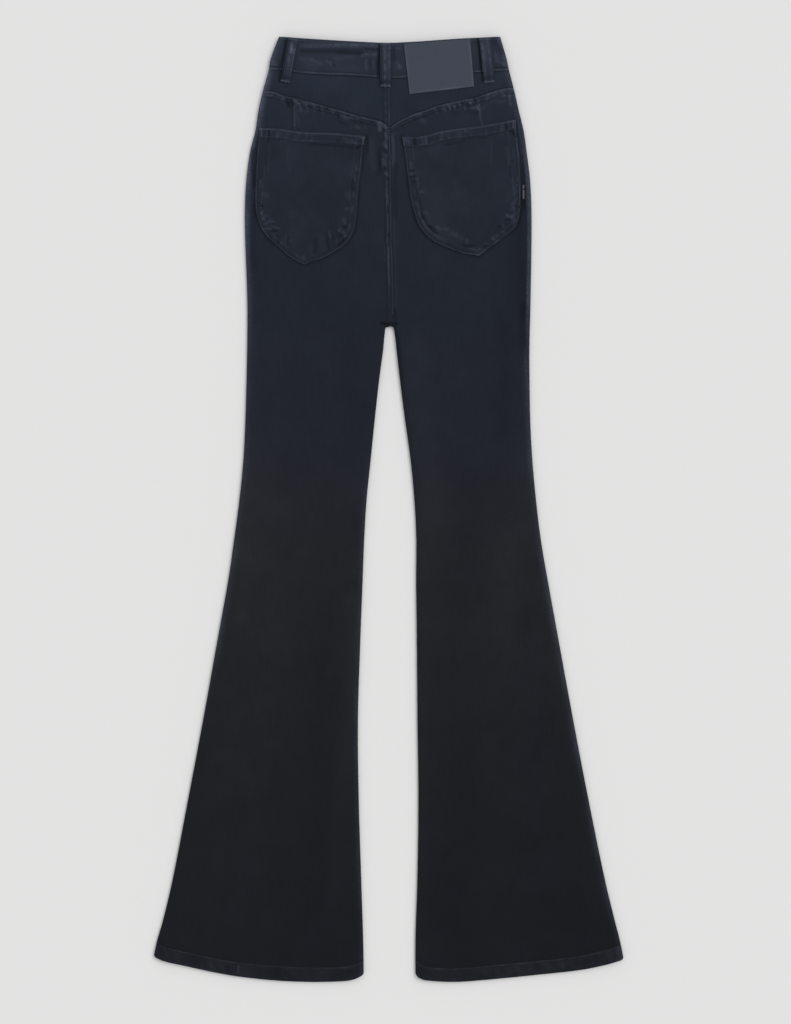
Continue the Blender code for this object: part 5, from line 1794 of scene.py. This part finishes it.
class Stitches:
    # gathers many small thread loops into one mesh
    def __init__(self, name):
        self.name = name
        self.points = []
        self.faces = []

    def loop(self, centre, forward, up, length, radius):
        across = np.cross(up, forward)
        sides = stitchLook["sides"]
        base = len(self.points)
        for t, fat, dip in stitchLook["rings"]:
            ring = centre + forward * (t * length) + up * (dip * radius)
            for k in range(sides):
                a = 2 * math.pi * k / sides
                self.points.append(ring + (across * math.cos(a) + up * math.sin(a)) * radius * fat)
        for r in range(3):
            for k in range(sides):
                a, b = base + r * sides + k, base + r * sides + (k + 1) % sides
                self.faces.append((a, b, b + sides, a + sides))
        self.faces.append(tuple(base + k for k in reversed(range(sides))))
        self.faces.append(tuple(base + 3 * sides + k for k in range(sides)))

    def row(self, path, pitch=None, radius=None, jitter=0.0, seed=1, under=False):
        # path is a dense line of points on the cloth
        pitch = pitch or stitchLook["pitch"]
        radius = radius or stitchLook["radius"]
        path = np.array(path)
        lengths = np.r_[0, np.cumsum(np.linalg.norm(np.diff(path, axis=0), axis=1))]
        count = int(lengths[-1] / pitch)
        rng = np.random.default_rng(seed)
        length = stitchLook["length"] * pitch / stitchLook["pitch"]
        for i in range(count):
            before, centre, after = (
                np.array([np.interp((i + share) * pitch, lengths, path[:, k]) for k in range(3)])
                for share in (0.1, 0.5, 0.9)
            )
            forward = (after - before) / max(np.linalg.norm(after - before), 1e-9)
            up = np.array([0.0, 0.0, -1.0 if under else 1.0])
            up = up - forward * (up @ forward)
            up /= np.linalg.norm(up)
            sway = np.cross(up, forward) * jitter * rng.uniform(-1, 1)
            self.loop(centre + sway + up * radius * 0.35, forward, up, length, radius)

    def barTack(self, start, end, width, z):
        # close zigzag threads across a short bar, given its two ends and its width
        start, end = np.array(start), np.array(end)
        run = end - start
        length = np.linalg.norm(run)
        forward = run / length
        side = np.array([-forward[1], forward[0]])
        count = max(int(length / 0.00050), 4)
        up = np.array([0.0, 0.0, 1.0])
        for i in range(count):
            centre = start + run * (i + 0.5) / count
            lean = side + forward * (0.22 if i % 2 else -0.22)
            lean /= np.linalg.norm(lean)
            point = np.array([centre[0], centre[1], z(centre[0], centre[1])]) + up * 0.00012
            self.loop(point, np.array([lean[0], lean[1], 0.0]), up, width, 0.00026)

    def done(self):
        mesh = bpy.data.meshes.new(self.name)
        mesh.from_pydata([tuple(p) for p in self.points], [], self.faces)
        at = np.array(self.points)
        layer = mesh.attributes.new("fade", "FLOAT", "POINT")
        layer.data.foreach_set("value", marksAt(at[:, 0], at[:, 1], dullRows).astype(np.float32))
        return linkPiece(self.name, mesh, "thread")


def legTopAt(side, x, y):
    # back leg surface with its relief
    foot = smoothCurve(hemEdges[side], x)
    lift, _ = backLegRelief(side, x, y, foot, yokeLine(x))
    return backHeight(side, x, y) + lift


def yokeTopAt(side, x, y):
    lift, _ = yokeRelief(side, x, y)
    return backHeight(side, x, y) + lift


def bandTopAt(x, y):
    lift, _ = bandRelief(x, y, backTopLine(x), backSeamLine(x), True)
    return lay["bandOver"] + lift


# where the rows of stitches on the legs, yoke and band start and end: level or x
sewnRuns = {
    -1: {"yoke": (-0.0055, -0.1560), "panel": (0.4780, 0.5005), "hem": (-0.0335, -0.2880), "band": 0.1420},
    1: {"yoke": (0.0075, 0.1535), "panel": (0.4810, 0.5085), "hem": (0.0355, 0.2880), "band": 0.1430},
}


def backSewing(word, side):
    rows = Stitches(f"stitchesBack{word.title()}")
    runs, thick, thin = sewnRuns[side], stitchLook["thick"], stitchLook["thin"]

    def sew(x, y, **thread):
        rows.row(line3(x, y, legTopAt(side, x, y)), **thread)

    x = np.linspace(*runs["yoke"], 220)
    for i, (below, radius) in enumerate(((yokeFell["firstRow"], thick), (yokeFell["secondRow"], thin))):
        sew(x, yokeLine(x) - below, radius=radius, jitter=0.0001, seed=300 + i)
    if side < 0:
        for i, (inset, radius) in enumerate(((fell["firstRow"], thick), (fell["secondRow"], 0.00022))):
            y = np.linspace(0.2440 + 0.008 * i, 0.4750, 260)
            sew(innerEdge(side, y) - inset, y, radius=radius, jitter=0.00012, seed=310 + i)
    y = np.linspace(*runs["panel"], 40)
    sew(smoothCurve(panelSeams[side], y) + 0.0013, y, seed=320)
    x = np.linspace(*runs["hem"], 300)
    y = smoothCurve(hemEdges[side], x) + hemRowAt(x)
    keep = np.abs(x - sideEdge(side, y)) > 0.0040
    sew(x[keep], y[keep], radius=thin, jitter=0.00012, seed=330)
    return rows.done()


def yokeSewing():
    # only the left yoke carries the rows of the centre seam
    rows = Stitches("stitchesYoke")
    seamRows = ((fell["firstRow"], 0.5270, stitchLook["thick"]), (fell["secondRow"], 0.5250, 0.00020))
    for i, (inset, end, radius) in enumerate(seamRows):
        y = np.linspace(0.4800, end, 70)
        x = innerEdge(-1, y) - inset
        rows.row(line3(x, y, yokeTopAt(-1, x, y)), radius=radius, jitter=0.0001, seed=340 + i)
    return rows.done()


def bandSewing():
    rows = Stitches("stitchesBand")
    top, foot = -bandLook["topRow"], bandLook["footRow"]
    for side, runs in sewnRuns.items():
        reach = runs["band"]
        x = np.linspace(side * 0.0005 + 0.0020, side * reach, 200)
        # line, shift from it, where it stops, thread
        overRows = ((backTopLine, top, 0.1330, 0.00018), (backSeamLine, foot, reach, 0.00030))
        for i, (line, shift, stop, radius) in enumerate(overRows):
            y = line(x) + shift
            path = line3(x, y, bandTopAt(x, y))[np.abs(x) < stop]
            rows.row(path, radius=radius, jitter=0.0001, seed=350 + i)
        underRows = ((frontTopLine, top, 0.1310), (frontSeamLine, foot, 0.1400))
        for i, (line, shift, stop) in enumerate(underRows):
            path = line3(x, line(x) + shift, np.full_like(x, lay["bandUnder"] - 0.00002))[np.abs(x) < stop]
            rows.row(path, seed=360 + i, under=True)
    return rows.done()


def insetPath(path, inset):
    tangent = np.gradient(path, axis=0)
    tangent /= np.linalg.norm(tangent, axis=1)[:, None]
    normal = np.stack([-tangent[:, 1], tangent[:, 0]], axis=1)
    moved = path + normal * np.reshape(inset, (-1, 1))
    near, _ = nearestOn(path, moved[:, 0], moved[:, 1])
    return moved[near > np.max(inset) * 0.60] if np.ndim(inset) else moved[near > inset * 0.93]


def pocketSewing(word):
    rows = Stitches(f"stitchesPocket{word.title()}")
    outline = pocketOutlines[word]
    path = sewnOutline(outline)
    top = curveThrough(outline["top"], np.linspace(0, 1, 120))
    along = np.r_[0, np.cumsum(np.hypot(*np.diff(path, axis=0).T))]
    first = pocketLook["firstRow"]
    second = mix(pocketLook["secondRow"], pocketLook["secondFoot"], footShare(along, along[-1]))
    # line, what it stops short of and by how much, thread, unevenness, seed
    for line, border, short, radius, jitter, seed in (
        (insetPath(path, first), top, 0.0012, 0.00026, 0.00014, 370),
        (insetPath(path, second), top, 0.0012, stitchLook["thin"], 0.00014, 371),
        (top + np.array([0.0, -first]), path, 0.0022, 0.00028, 0.0001, 380),
        (top + np.array([0.0, -pocketLook["bandRow"]]), path, 0.0022, stitchLook["thin"], 0.0001, 381),
    ):
        away, _ = nearestOn(border, line[:, 0], line[:, 1])
        x, y = line[away > short].T
        rows.row(line3(x, y, pocketSurface(word, x, y)[0]), radius=radius, jitter=jitter, seed=seed)

    def heightAt(x, y):
        return float(pocketSurface(word, np.array([x]), np.array([y]))[0][0])

    for corner, step in ((top[0], 1), (top[-1], -1)):
        start = corner + np.array([step * 0.0028, -0.0012])
        rows.barTack(start, start + np.array([step * 0.0002, -0.0098]), 0.0023, heightAt)
    return rows.done()


def loopSewing():
    rows = Stitches("stitchesLoops")
    along = np.linspace(0.03, 0.97, 60)
    for i, ways in enumerate(backLoops.values()):
        top, foot, width = ways["top"], ways["foot"], ways["width"]
        inset = 1 - 2 * loopLook["rowInset"] / width
        for across in (-inset, inset):
            x, y, z, _ = loopSurface(ways, np.full_like(along, across), along, True)
            rows.row(line3(x, y, z), pitch=0.0030, jitter=0.0001, seed=390 + i)

        def heightAt(_, y, ways=ways):
            # on the loop's middle line
            at = (y - ways["foot"][1]) / (ways["top"][1] - ways["foot"][1])
            return float(loopSurface(ways, np.array([0.0]), np.array([at]), True)[2][0])

        for share in (0.030, 0.955):
            start, end = (loopPlace(top, foot, across, share, width) for across in (-0.96, 0.96))
            rows.barTack(start, end, 0.0021, heightAt)
    for x in frontLoops.values():
        head = float(frontTopLine(np.array(x)))
        for shift in (-0.0032, 0.0032):
            y = np.linspace(head - 0.0545, head - 0.0015, 60)
            path = line3(np.full_like(y, x + shift), y, np.full_like(y, stitchLook["underLevel"]))
            rows.row(path, pitch=0.0030, under=True)
    return rows.done()


# the fly's two curved rows, and where the front hems' rows run
frontRuns = {
    "fly": {"x": -0.035, "top": 0.515, "bend": 0.405, "drop": 0.042, "end": 0.002, "rows": (0, 0.006)},
    "hems": {-1: (-0.0345, -0.2850), 1: (0.0365, 0.2850)},
}


def frontSewing():
    rows = Stitches("stitchesFront")
    fly = frontRuns["fly"]
    for inset in fly["rows"]:
        turn = np.linspace(0, 1, 80)
        straight = np.column_stack([np.full(80, fly["x"] + inset), mix(fly["top"], fly["bend"], turn)])
        bend = np.column_stack([
            fly["end"] - (fly["end"] - fly["x"] - inset) * np.cos(turn * np.pi / 2),
            fly["bend"] - (fly["drop"] - inset) * np.sin(turn * np.pi / 2),
        ])
        x, y = np.concatenate([straight, bend[1:]]).T
        rows.row(line3(x, y, frontUnder(y) + stitchLook["underLevel"]), under=True)
    for side, run in frontRuns["hems"].items():
        x = np.linspace(*run, 240)
        y = smoothCurve(hemEdges[side], x) + hemRowAt(x)
        keep = np.abs(x - sideEdge(side, y)) > 0.0075
        rows.row(line3(x, y, np.full_like(x, stitchLook["underLevel"]))[keep], under=True)
    return rows.done()


sewing = {
    "backleft": backSewing("left", -1),
    "backright": backSewing("right", 1),
    "yoke": yokeSewing(),
    "band": bandSewing(),
    "pocketleft": pocketSewing("left"),
    "pocketright": pocketSewing("right"),
    "loops": loopSewing(),
    "front": frontSewing(),
}

print("floor, light and camera")

studio = {
    "world": 0.712,
    "sun": 1.05,
    "sunAngle": 34.0,
    "sunElevation": 52.0,
    "sunAzimuth": 28.0,
    "lens": 85.0,
    "height": 3.0275,
    "aimX": 0.0085,
    "aimY": -0.0033,
    "floorReach": 8.0,
    "floorDrop": 0.0001,
}

floorMesh = bpy.data.meshes.new("floor")
reach = studio["floorReach"]
floorCorners = [(-reach, -reach, 0), (reach, -reach, 0), (reach, reach, 0), (-reach, reach, 0)]
floorMesh.from_pydata(floorCorners, [], [(0, 1, 2, 3)])
floorMesh.materials.append(materials["floor"])
floor = bpy.data.objects.new("floor", floorMesh)
floor.location.z = -studio["floorDrop"]
bpy.context.scene.collection.objects.link(floor)

world = bpy.data.worlds.new("studioWorld")
world.use_nodes = True
sky = world.node_tree.nodes["Background"]
sky.inputs["Color"].default_value = (1.0, 1.0, 1.0, 1.0)
sky.inputs["Strength"].default_value = studio["world"]
bpy.context.scene.world = world

sunData = bpy.data.lights.new("softSun", "SUN")
sunData.energy = studio["sun"]
sunData.angle = math.radians(studio["sunAngle"])
sun = bpy.data.objects.new("softSun", sunData)
sun.rotation_mode = "XYZ"
sun.rotation_euler = (0.0, math.radians(90 - studio["sunElevation"]), math.radians(studio["sunAzimuth"]))
bpy.context.scene.collection.objects.link(sun)

cameraData = bpy.data.cameras.new("camera")
cameraData.lens = studio["lens"]
cameraData.sensor_width = 36.0
camera = bpy.data.objects.new("camera", cameraData)
camera.location = (studio["aimX"], studio["aimY"], studio["height"])
bpy.context.scene.collection.objects.link(camera)
bpy.context.scene.camera = camera
bpy.context.scene.view_settings.view_transform = "Standard"
